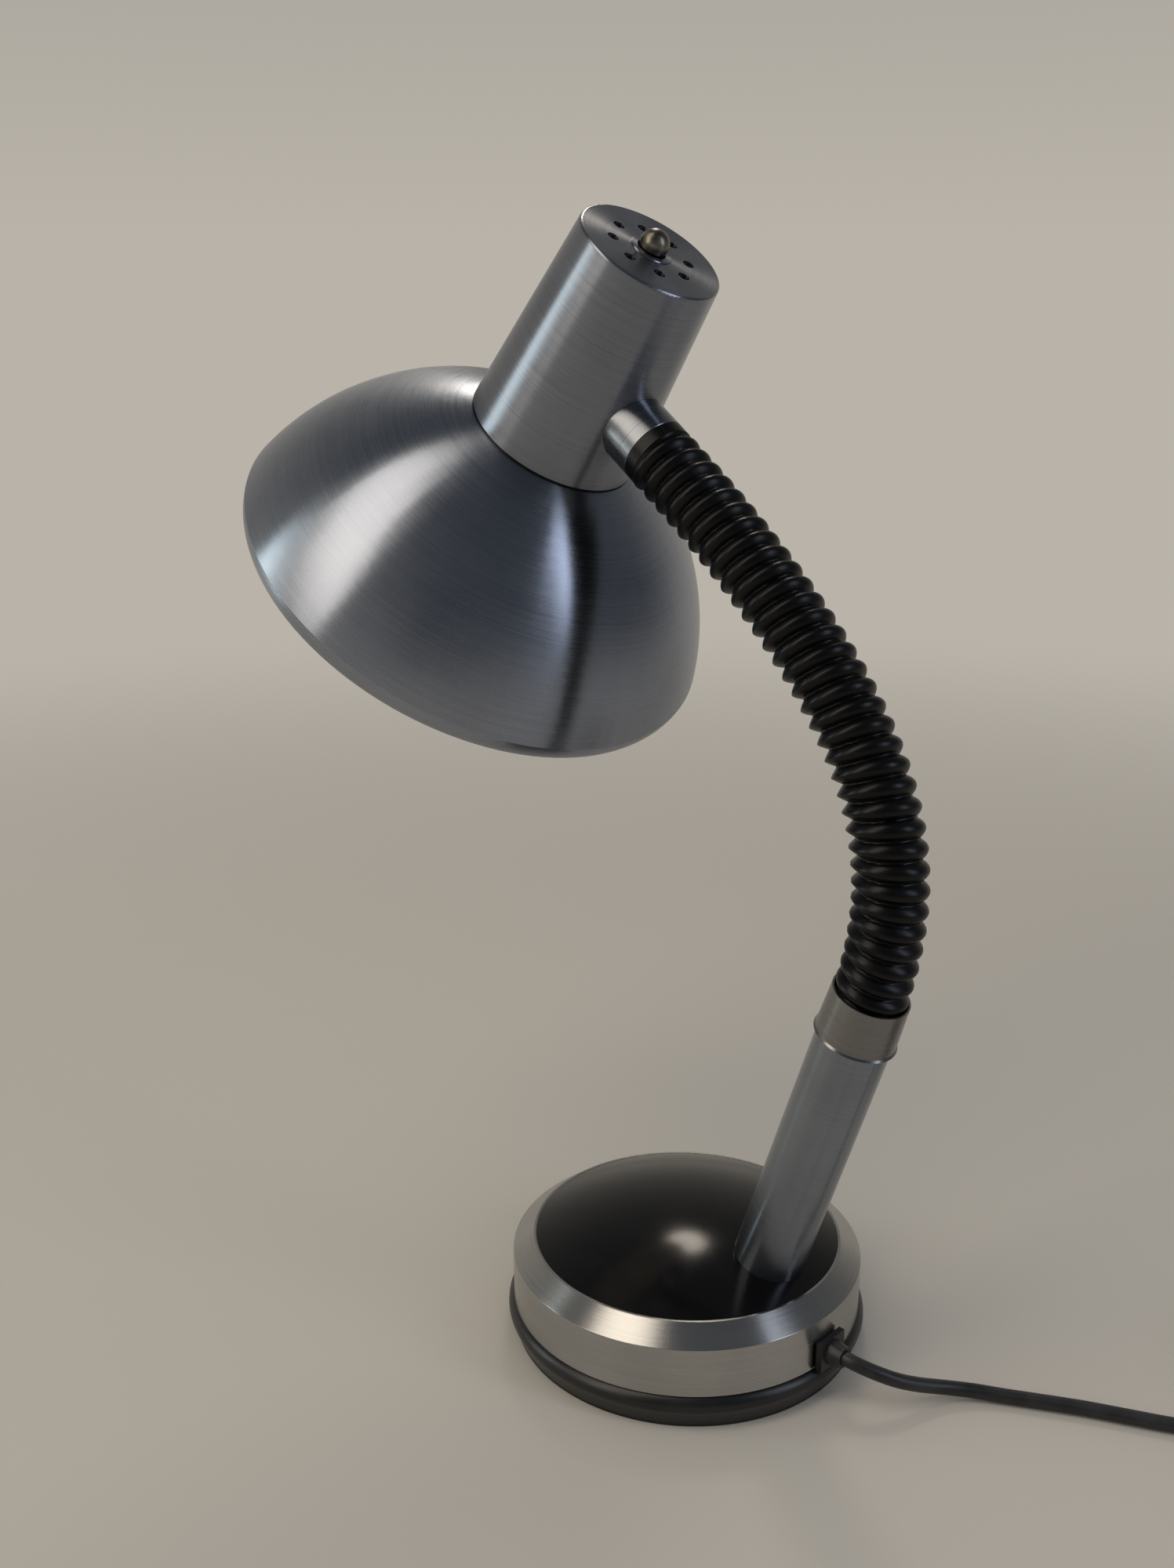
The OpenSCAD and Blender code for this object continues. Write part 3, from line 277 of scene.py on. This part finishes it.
# Base plate: a pressed steel plate with a domed top, stove enamelled gloss black, lying in the ring.
# Enamel has a slight orange peel and faint wiping marks, which blur its highlight a little.
enamel, tree, shader = mottled("stove_enamel_black", patch=0.012, dark="#0b0b0c", light="#100f0f",
                               smooth=0.11, rough=0.20, low=0.45, high=0.85)
raise_grain(tree, shader, width=0.0016, strength=0.05, height=0.0002)
shader.inputs["Specular IOR Level"].default_value = 0.28
dress(enamel, "base_plate")


# Ballast, cover, screws and terminals: an iron disc in the base with the boss for the stem, closed below by
# a painted steel cover with three screws. The terminals and the cord clamp sit on it, out of sight.
# Paint leaves the iron's grain in sight, zinc plating is bright and cloudy, and moulded plastic is smooth.
iron_paint, tree, shader = mottled("painted_cast_iron", patch=0.0014, dark="#2c2c2e", light="#454548",
                                   smooth=0.58, rough=0.66)
raise_grain(tree, shader, width=0.0014, strength=0.5, height=0.0005)
dress(iron_paint, "ballast", "bottom_cover")
zinc = mottled("zinc_plated_steel", patch=0.003, dark="#8f9296", light="#b4b7ba", smooth=0.28, rough=0.42,
               metal=1.0)[0]
dress(zinc, "cover_screws")
moulded_white = mottled("moulded_white_plastic", patch=0.004, dark="#dcd9d1", light="#eae8e2", smooth=0.32,
                        rough=0.48)[0]
dress(moulded_white, "cord_clamp", "terminal_block")


# Cord: a round two-core lead in black PVC, 5.8 mm thick and 1.8 m long. It leaves the gland, drops to the
# floor and runs to the right; the rest is a coil in two layers with a nylon tie, and it ends in a flat plug.
# PVC from the extruder is a soft black, greyer and duller where it has been handled.
cord_d = 0.0058
gland_x = 0.0815
gland_z = 0.0195
lie_z = cord_d / 2
tie_t = 0.0012
plug_h = 0.0136
free_route = [(gland_x + x / 1000, y / 1000, z) for x, y, z in (
    (-4, 0, gland_z), (0.4, 0, gland_z), (5, 0.9, gland_z - 0.0008), (11.5, 4.5, gland_z - 0.0032),
    (17.5, 10.5, gland_z - 0.0067), (22.5, 18.5, gland_z - 0.0104), (28, 27.5, gland_z - 0.0136),
    (36, 36, lie_z + 0.001), (46, 43, lie_z), (58, 50, lie_z), (72, 58, lie_z), (86, 65, lie_z),
    (100, 72, lie_z), (114, 80, lie_z), (128, 88, lie_z), (142, 96, lie_z + 0.0006),
    (155, 103.6, lie_z + tie_t), (168, 111.2, lie_z + tie_t))]
coil_in = 0.027
coil_pitch = 0.0065
coil_turns = 3
coil_lift = cord_d + 0.0006
coil_steps = 48
low_turns = coil_turns + 0.5
top_turns = coil_turns - 1 / 6
all_turns = low_turns + top_turns
coil_out = coil_in + coil_pitch * low_turns
coil_from = math.radians(-60)
coil_mid = Vector(free_route[-1]) - coil_out * Vector((math.cos(coil_from), math.sin(coil_from), 0))


def ease(share):
    """A smooth start and stop between 0 and 1."""
    return share * share * (3 - 2 * share)


def coil_point(turn):
    """A point of the coil: its lower layer winds in and climbs at its end, and its upper layer winds out."""
    angle = coil_from + 2 * math.pi * turn
    if turn <= low_turns:
        radius = coil_out - coil_pitch * turn
        lift = coil_lift * ease(max(0.0, (turn - coil_turns) / 0.5))
    else:
        up = turn - low_turns
        radius = coil_in + (coil_pitch * up * 2 if up < 0.5 else coil_pitch + coil_pitch * (up - 0.5))
        lift = coil_lift
    return coil_mid + Vector((radius * math.cos(angle), radius * math.sin(angle), lift))


coil_route = [coil_point(i / coil_steps) for i in range(1, round(coil_steps * all_turns) + 1)]
tail_from = coil_point(all_turns)
tail_angle = coil_from + 2 * math.pi * all_turns + math.pi / 2
tail_way = Vector((math.cos(tail_angle), math.sin(tail_angle), 0))
tail_flat = 0.008
tail_fall = 0.032
tail_drop = Vector((0, 0, lie_z + tie_t + coil_lift - plug_h / 2))
tail_step = 0.003
tail_points = 15
for i in range(1, tail_points + 1):
    run = tail_step * i
    fallen = ease(min(1.0, max(0.0, (run - tail_flat) / tail_fall)))
    coil_route.append(tail_from + run * tail_way - fallen * tail_drop)


def smooth_through(points, steps):
    """A smooth line through points, with steps pieces between each two."""
    line = []
    for i in range(len(points) - 1):
        a, b = Vector(points[max(i - 1, 0)]), Vector(points[i])
        c, d = Vector(points[i + 1]), Vector(points[min(i + 2, len(points) - 1)])
        for j in range(steps):
            t = j / steps
            bent = (2 * a - 5 * b + 4 * c - d) * t * t + (3 * b - a - 3 * c + d) * t ** 3
            line.append(0.5 * (2 * b + (c - a) * t + bent))
    return line + [Vector(points[-1])]


cord_line = smooth_through(free_route, 4) + coil_route
cord_curve = bpy.data.curves.new("mains_cord", "CURVE")
cord_curve.dimensions = "3D"
cord_curve.bevel_depth = cord_d / 2
cord_curve.bevel_resolution = 5
cord_curve.use_fill_caps = True
spline = cord_curve.splines.new("POLY")
spline.points.add(len(cord_line) - 1)
for point, at in zip(spline.points, cord_line):
    point.co = (*at, 1.0)
spline.use_smooth = True
cord_pvc, tree, shader = mottled("extruded_black_pvc", patch=0.012, dark="#161618", light="#29292b",
                                 smooth=0.32, rough=0.52, low=0.40, high=0.75)
raise_grain(tree, shader, width=0.0009, strength=0.15, height=0.0002)
cord_curve.materials.append(cord_pvc)
mains_cord = bpy.data.objects.new("mains_cord", cord_curve)
scene.collection.objects.link(mains_cord)
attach(mains_cord, "base")
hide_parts("cord", "cord_coil")
dress(cord_pvc, "cord_gland", "plug_body", "coil_tie")

# Nickel plating on the plug's pins is bright, with some of the brass's warmth.
nickel = mottled("nickel_plated_brass", patch=0.005, dark="#bdb6a8", light="#d3cfc6", smooth=0.15,
                 rough=0.30, metal=1.0)[0]
dress(nickel, "plug_pins")


# Stem and ferrule: a leaning aluminium tube held in the base by a threaded nipple and two nuts, with a cup
# on top that takes the neck. The tube is satin from a belt run round it, the cup turned, and the lines of
# both stretch a highlight along the stem; they are drawn at 0.3 and 0.4 mm to show. The nipple is brass.
stem_x = 0.041
stem_lean = math.radians(18)
stem_l = 0.129
plate_z = 0.041
stem_foot = (stem_x, 0, plate_z)
stem_aluminium = turned_aluminium("belt_satin_aluminium", middle=stem_foot, tilt=stem_lean, light="#8f959c",
                                  dark="#7a8088", rough=0.22, line=0.0003, length=0.05, lay=0.8)
dress(stem_aluminium, "stem")
ferrule_aluminium = turned_aluminium("turned_aluminium_ferrule", middle=stem_foot, tilt=stem_lean,
                                     light="#8b8a88", dark="#757473", rough=0.28, line=0.0004, length=0.04,
                                     lay=0.65)
dress(ferrule_aluminium, "ferrule")
turned_brass = mottled("turned_brass", patch=0.006, dark="#9c7d3f", light="#c9ab67", smooth=0.22,
                       rough=0.40, metal=1.0)[0]
dress(turned_brass, "stem_nipple", "stem_nut")


# Neck: one soft PVC hose with a helical rib, drawn over the links of the steel core and held in ferrule and
# collar. It is shown from mid-link to mid-link, so that each piece spans one joint of the core.
# Soft PVC is nearly black, with a low gloss on the crests of the rib.
neck_links = 11
link_l = 0.02254
neck_turn = [5, 10, 14, 13, 10, 6.5, 4.5, 3, 2.5, 2.5, 0]
neck_l = link_l * neck_links
neck_foot = Vector((stem_x + stem_l * math.sin(stem_lean), 0, plate_z + stem_l * math.cos(stem_lean)))
sleeve_d = 0.0276
stub_l = 0.0022
seat_gap = 0.0003
collar_over = 0.005
# Thirteen loops of the rib stand on four links. On the inside of a bend the rib is part pointed and stands a
# little higher, and at the collar the sleeve ends in a smooth cuff, at a share of the rib's height.
rib_pitch = link_l * 4 / 13
rib_h = 0.0032
rib_round = 0.8
inner_point = 0.7
inner_rise = 0.15
cuff_l = 0.0052
cuff_share = 0.9
rings_per_rib = 16
hose_sides = 64
line_steps = 400


def neck_line(length):
    """The place and heading of the neck's middle line at a length from its foot."""
    at, heading = neck_foot.copy(), math.pi / 2 - stem_lean
    if length <= 0:
        return at + length * Vector((math.cos(heading), 0, math.sin(heading))), heading
    for turn in neck_turn:
        part = min(length, link_l)
        bend = math.radians(turn) * part / link_l
        chord = part if abs(bend) < 1e-6 else part * math.sin(bend / 2) / (bend / 2)
        at = at + chord * Vector((math.cos(heading + bend / 2), 0, math.sin(heading + bend / 2)))
        heading += bend
        length -= part
        if length <= 1e-9:
            break
    return at, heading


def neck_bend(length):
    """How sharply the neck bends at a length from its foot, from 0 in the ferrule to 1."""
    at = min(max(length / link_l - 0.5, 0), neck_links - 1)
    low = int(at)
    turn = neck_turn[low] + (neck_turn[min(low + 1, neck_links - 1)] - neck_turn[low]) * (at - low)
    return turn / max(neck_turn) * min(1, max(0, length / link_l - 0.5))


hose_tree = bpy.data.node_groups.new("helical_hose", "GeometryNodeTree")
for socket, kind in (("Line", "Geometry"), ("From", "Float"), ("To", "Float"), ("Stub", "Float"),
                     ("Root Radius", "Float"), ("Rib Height", "Float"), ("Pitch", "Float"),
                     ("Ribs End", "Float"), ("Rings", "Int"), ("Sides", "Int"), ("Material", "Material")):
    hose_tree.interface.new_socket(socket, in_out="INPUT", socket_type="NodeSocket" + kind)
hose_tree.interface.new_socket("Hose", in_out="OUTPUT", socket_type="NodeSocketGeometry")
given = add(hose_tree, "NodeGroupInput")

# A length of the neck's line, with each point's length from the foot, and a plain tube round it. By length,
# the trim's start and end are its inputs 4 and 5.
line = add(hose_tree, "GeometryNodeMeshToCurve", {"Mesh": given.outputs["Line"]})
measure = add(hose_tree, "GeometryNodeSplineParameter")
marked = add(hose_tree, "GeometryNodeCaptureAttribute", {"Geometry": line.outputs[0]}, domain="POINT")
marked.capture_items.new("FLOAT", "along")
hose_tree.links.new(measure.outputs["Length"], marked.inputs["along"])
cut = add(hose_tree, "GeometryNodeTrimCurve",
          {"Curve": marked.outputs["Geometry"], 4: given.outputs["From"], 5: given.outputs["To"]},
          mode="LENGTH")
even = add(hose_tree, "GeometryNodeResampleCurve",
           {"Curve": cut.outputs[0], "Count": given.outputs["Rings"]})
spot = add(hose_tree, "GeometryNodeInputPosition")
way = add(hose_tree, "GeometryNodeInputTangent")
kept = add(hose_tree, "GeometryNodeCaptureAttribute", {"Geometry": even.outputs[0]}, domain="POINT")
kept.capture_items.new("VECTOR", "middle")
kept.capture_items.new("VECTOR", "way")
hose_tree.links.new(spot.outputs[0], kept.inputs["middle"])
hose_tree.links.new(way.outputs[0], kept.inputs["way"])
ring = add(hose_tree, "GeometryNodeCurvePrimitiveCircle",
           {"Resolution": given.outputs["Sides"], "Radius": given.outputs["Root Radius"]}, mode="RADIUS")
skin = add(hose_tree, "GeometryNodeCurveToMesh",
           {"Curve": kept.outputs["Geometry"], "Profile Curve": ring.outputs[0], "Fill Caps": True})

# Each point's angle round the line, and from it and the length the phase of the helix.
arm = add(hose_tree, "ShaderNodeVectorMath", {0: spot.outputs[0], 1: kept.outputs["middle"]},
          operation="SUBTRACT")
outward = add(hose_tree, "ShaderNodeVectorMath", {0: arm.outputs[0]}, operation="NORMALIZE")
upper = add(hose_tree, "ShaderNodeVectorMath", {0: kept.outputs["way"], 1: (0, 1, 0)},
            operation="CROSS_PRODUCT")
rise_part = add(hose_tree, "ShaderNodeVectorMath", {0: outward.outputs[0], 1: upper.outputs[0]},
                operation="DOT_PRODUCT")
side_part = add(hose_tree, "ShaderNodeVectorMath", {0: outward.outputs[0], 1: (0, 1, 0)},
                operation="DOT_PRODUCT")
angle = add(hose_tree, "ShaderNodeMath", {0: rise_part.outputs["Value"], 1: side_part.outputs["Value"]},
            operation="ARCTAN2")
from_foot = add(hose_tree, "ShaderNodeMath", {0: marked.outputs["along"], 1: given.outputs["Stub"]},
                operation="SUBTRACT")
loops = add(hose_tree, "ShaderNodeMath", {0: from_foot.outputs[0], 1: given.outputs["Pitch"]},
            operation="DIVIDE")
half = add(hose_tree, "ShaderNodeMath", {0: angle.outputs[0], 1: 0.5}, operation="MULTIPLY")
phase = add(hose_tree, "ShaderNodeMath", {0: loops.outputs[0], 1: math.pi, 2: half.outputs[0]},
            operation="MULTIPLY_ADD")

# The rib: a round bow, mixed with a pointed tooth on the inside of a bend, or the smooth cuff.
wave = add(hose_tree, "ShaderNodeMath", {0: phase.outputs[0]}, operation="SINE")
bow = add(hose_tree, "ShaderNodeMath", {0: wave.outputs[0]}, operation="ABSOLUTE")
other_wave = add(hose_tree, "ShaderNodeMath", {0: phase.outputs[0]}, operation="COSINE")
other_bow = add(hose_tree, "ShaderNodeMath", {0: other_wave.outputs[0]}, operation="ABSOLUTE")
tooth = add(hose_tree, "ShaderNodeMath", {0: 1.0, 1: other_bow.outputs[0]}, operation="SUBTRACT")
bend = add(hose_tree, "GeometryNodeInputNamedAttribute", {"Name": "bend"}, data_type="FLOAT")
inner = add(hose_tree, "ShaderNodeMath", {0: rise_part.outputs["Value"], 1: bend.outputs["Attribute"]},
            operation="MULTIPLY")
round_rib = add(hose_tree, "ShaderNodeMath", {0: bow.outputs[0], 1: rib_round}, operation="POWER")
pointed = add(hose_tree, "ShaderNodeMath", {0: inner.outputs[0], 1: inner_point}, operation="MULTIPLY",
              use_clamp=True)
rib = add(hose_tree, "ShaderNodeMix",
          {"Factor": pointed.outputs[0], "A": round_rib.outputs[0], "B": tooth.outputs[0]},
          data_type="FLOAT")
tall = add(hose_tree, "ShaderNodeMath", {0: inner.outputs[0], 1: inner_rise, 2: 1.0},
           operation="MULTIPLY_ADD")
crest = add(hose_tree, "ShaderNodeMath", {0: rib.outputs[0], 1: tall.outputs[0]}, operation="MULTIPLY")
smooth_end = add(hose_tree, "ShaderNodeMath", {0: from_foot.outputs[0], 1: given.outputs["Ribs End"]},
                 operation="GREATER_THAN")
cuff = add(hose_tree, "ShaderNodeMix",
           {"Factor": smooth_end.outputs[0], "A": crest.outputs[0], "B": cuff_share}, data_type="FLOAT")
reach = add(hose_tree, "ShaderNodeMath",
            {0: cuff.outputs[0], 1: given.outputs["Rib Height"], 2: given.outputs["Root Radius"]},
            operation="MULTIPLY_ADD")
step_out = add(hose_tree, "ShaderNodeVectorMath", {0: outward.outputs[0], "Scale": reach.outputs[0]},
               operation="SCALE")
target = add(hose_tree, "ShaderNodeVectorMath", {0: kept.outputs["middle"], 1: step_out.outputs[0]},
             operation="ADD")
ribbed = add(hose_tree, "GeometryNodeSetPosition",
             {"Geometry": skin.outputs[0], "Position": target.outputs[0]})
soft = add(hose_tree, "GeometryNodeSetShadeSmooth", {"Geometry": ribbed.outputs[0], "Shade Smooth": True})
whole = add(hose_tree, "GeometryNodeRealizeInstances", {"Geometry": soft.outputs[0]})
coated = add(hose_tree, "GeometryNodeSetMaterial",
             {"Geometry": whole.outputs[0], "Material": given.outputs["Material"]})
add(hose_tree, "NodeGroupOutput", {"Hose": coated.outputs[0]})

sleeve_pvc, tree, shader = mottled("soft_black_pvc_hose", patch=0.009, dark="#030303", light="#080809",
                                   smooth=0.26, rough=0.40)
raise_grain(tree, shader, width=0.0011, strength=0.12, height=0.0002)
shader.inputs["Specular IOR Level"].default_value = 0.22


def hose_piece(name, start, end):
    """One length of the sleeve along the neck, made by the hose tree and kept as a plain mesh."""
    lengths = [-stub_l + (neck_l + stub_l) * i / line_steps for i in range(line_steps + 1)]
    mesh = bpy.data.meshes.new(name)
    mesh.from_pydata([neck_line(length)[0] for length in lengths],
                     [(i, i + 1) for i in range(line_steps)], [])
    sharp = mesh.attributes.new("bend", "FLOAT", "POINT")
    sharp.data.foreach_set("value", [neck_bend(length) for length in lengths])
    piece = bpy.data.objects.new(name, mesh)
    scene.collection.objects.link(piece)
    maker = piece.modifiers.new("hose", "NODES")
    maker.node_group = hose_tree
    sizes = {"From": start + stub_l, "To": end + stub_l, "Stub": stub_l, "Root Radius": sleeve_d / 2 - rib_h,
             "Rib Height": rib_h, "Pitch": rib_pitch, "Ribs End": neck_l - collar_over - cuff_l,
             "Rings": int(rings_per_rib * (end - start) / rib_pitch) + 2, "Sides": hose_sides,
             "Material": sleeve_pvc}
    for item in hose_tree.interface.items_tree:
        if item.in_out == "INPUT" and item.name in sizes:
            maker[item.identifier] = sizes[item.name]
    made = bpy.data.meshes.new_from_object(piece.evaluated_get(bpy.context.evaluated_depsgraph_get()))
    piece.modifiers.remove(maker)
    piece.data = made
    return piece


low_end = hose_piece("sleeve_low_end", -stub_l + seat_gap, link_l * 0.5)
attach(low_end, "base")
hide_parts("sleeve_1")
for k in range(1, neck_links):
    piece = hose_piece("sleeve_bend_%d" % k, link_l * (k - 0.5), link_l * (k + 0.5))
    neck_line(link_l * (k - 0.5))[0]
    neck_line(link_l * (k + 0.5))[0]
    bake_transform(piece)
    if k < neck_links - 1:
        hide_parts("sleeve_%d" % (k + 1))
high_end = hose_piece("sleeve_high_end", neck_l - link_l * 0.5, neck_l - collar_over)
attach(high_end, "head")
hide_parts("sleeve_11")
dress(zinc, *["core_%d" % k for k in range(1, neck_links + 1)])


# Housing and collar: a tapered aluminium housing, spun and brushed round its axis, with vent holes in its
# top, and the aluminium collar that the neck screws into, with a brass nut inside. The collar's turned end
# covers the sleeve's end. The lines on both are drawn at 0.4 mm to show.
head_tilt = math.radians(37)
collar_reach = 0.0395
collar_drop = 0.055
collar_r = 0.0135
collar_bore_r = 0.0112
collar_edge = 0.0003
collar_sides = 128
neck_end, neck_heading = neck_line(neck_l)
head_turn = Matrix.Rotation(head_tilt, 3, "Y")
head_top = neck_end + head_turn @ Vector((-collar_reach, 0, collar_drop))
housing_aluminium = turned_aluminium("brushed_aluminium_housing", middle=head_top, tilt=head_tilt,
                                     light="#8f939b", dark="#777b84", rough=0.29, line=0.0004, length=0.08,
                                     lay=0.85)
dress(housing_aluminium, "housing", "switch_bush")
collar_aluminium = turned_aluminium("turned_aluminium_collar", middle=neck_end, tilt=head_tilt + math.pi / 2,
                                    light="#8e9196", dark="#787b80", rough=0.27, line=0.0004, length=0.04,
                                    lay=0.6)
dress(collar_aluminium, "collar")
dress(turned_brass, "collar_nut")


def turned_ring(name, middle, axis, profile, sides):
    """A ring turned round an axis: the profile's corners are radius and place along it, outside first."""
    start = axis.orthogonal().normalized()
    count = len(profile)
    points = []
    faces = []
    for i in range(sides):
        out = Matrix.Rotation(2 * math.pi * i / sides, 3, axis) @ start
        points += [middle + radius * out + along * axis for radius, along in profile]
        here, beyond = i * count, (i + 1) % sides * count
        for j in range(count):
            k = (j + 1) % count
            faces.append((here + j, beyond + j, beyond + k, here + k))
    mesh = bpy.data.meshes.new(name)
    mesh.from_pydata(points, [], faces)
    mesh.shade_smooth()
    mesh.set_sharp_from_angle(angle=math.radians(30))
    ring = bpy.data.objects.new(name, mesh)
    scene.collection.objects.link(ring)
    return ring


collar_way = -Vector((math.cos(neck_heading), 0, math.sin(neck_heading)))
collar_profile = [(collar_r, 0), (collar_r, collar_over - collar_edge),
                  (collar_r - collar_edge, collar_over), (collar_bore_r, collar_over), (collar_bore_r, 0)]
collar_end = turned_ring("collar_end", neck_end, collar_way, collar_profile, collar_sides)
collar_end.data.materials.append(collar_aluminium)
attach(collar_end, "head")


# Push switch: a pale brass ball on a shaft in a flat aluminium ring, screwed into the housing's top.
# Handling has left the ball dull, with a brown tarnish.
switch_brass = mottled("tarnished_pale_brass", patch=0.0035, dark="#5d5a53", light="#8b8578", smooth=0.24,
                       rough=0.44, low=0.35, high=0.65, metal=1.0)[0]
dress(switch_brass, "switch_button")


# Lampholder, screw ring and switch body: black phenolic mouldings inside the head, with brass contacts.
# The ring screws onto the holder and clamps the shade against the housing.
# Phenolic is hard and glossy, with a faint speckle from its filler.
phenolic = mottled("black_phenolic_moulding", patch=0.002, dark="#121213", light="#1e1d1d", smooth=0.22,
                   rough=0.38)[0]
dress(phenolic, "switch_body", "holder_body", "shade_ring")
dress(turned_brass, "holder_shell", "holder_contact")


# Shade: an aluminium sheet spun to a dome with its rim turned in, satin outside and sprayed white inside,
# on a thin rubber gasket. The side that faces the bulb is the white one.
# Spinning leaves rings about 0.2 mm apart; they are drawn at 0.4 mm to show.
bulb_drop = 0.150
spray_grain = 0.002
spray_rough = 0.5
shade_aluminium = turned_aluminium("spun_aluminium_shade", middle=head_top, tilt=head_tilt, light="#9da2ac",
                                   dark="#868b96", rough=0.27, line=0.0004, length=0.12, lay=0.9)
bulb_middle = head_top - head_turn @ Vector((0, 0, bulb_drop))
tree = shade_aluminium.node_tree
shader = tree.nodes["Principled BSDF"]
place = add(tree, "ShaderNodeTexCoord")
face = add(tree, "ShaderNodeNewGeometry")
facing = add(tree, "ShaderNodeVectorTransform", {0: face.outputs["True Normal"]}, vector_type="NORMAL",
             convert_from="WORLD", convert_to="OBJECT")
from_bulb = add(tree, "ShaderNodeVectorMath", {0: place.outputs["Object"], 1: bulb_middle},
                operation="SUBTRACT")
turned_away = add(tree, "ShaderNodeVectorMath", {0: facing.outputs[0], 1: from_bulb.outputs[0]},
                  operation="DOT_PRODUCT")
bare = add(tree, "ShaderNodeMath", {0: turned_away.outputs["Value"], 1: 0.0}, operation="GREATER_THAN")
coat = add(tree, "ShaderNodeTexNoise",
           {"Vector": place.outputs["Object"], "Scale": 1 / spray_grain, "Detail": 3.0})
white = add(tree, "ShaderNodeMix",
            {"Factor": coat.outputs["Fac"], 6: linear("#e9e6de"), 7: linear("#f2f0ea")}, data_type="RGBA")
metal_tone = shader.inputs["Base Color"].links[0].from_socket
metal_gloss = shader.inputs["Roughness"].links[0].from_socket
tone = add(tree, "ShaderNodeMix", {"Factor": bare.outputs[0], 6: white.outputs[2], 7: metal_tone},
           data_type="RGBA")
gloss = add(tree, "ShaderNodeMix", {"Factor": bare.outputs[0], "A": spray_rough, "B": metal_gloss},
            data_type="FLOAT")
tree.links.new(tone.outputs[2], shader.inputs["Base Color"])
tree.links.new(gloss.outputs[0], shader.inputs["Roughness"])
tree.links.new(bare.outputs[0], shader.inputs["Metallic"])
dress(shade_aluminium, "shade")
dress(rubber, "seam_gasket")


# Bulb: an opal glass globe on a white plastic body with a plated screw cap.
# The glass is milky right through, so light spreads a few millimetres inside it.
spread_depth = 0.004
opal, tree, shader = mottled("opal_glass", patch=0.01, dark="#f3ead8", light="#fbf6ea", smooth=0.15,
                             rough=0.21)
shader.inputs["Subsurface Weight"].default_value = 0.3
shader.inputs["Subsurface Radius"].default_value = (spread_depth, spread_depth, spread_depth)
dress(opal, "bulb_globe")
dress(moulded_white, "bulb_body")
dress(nickel, "bulb_cap")
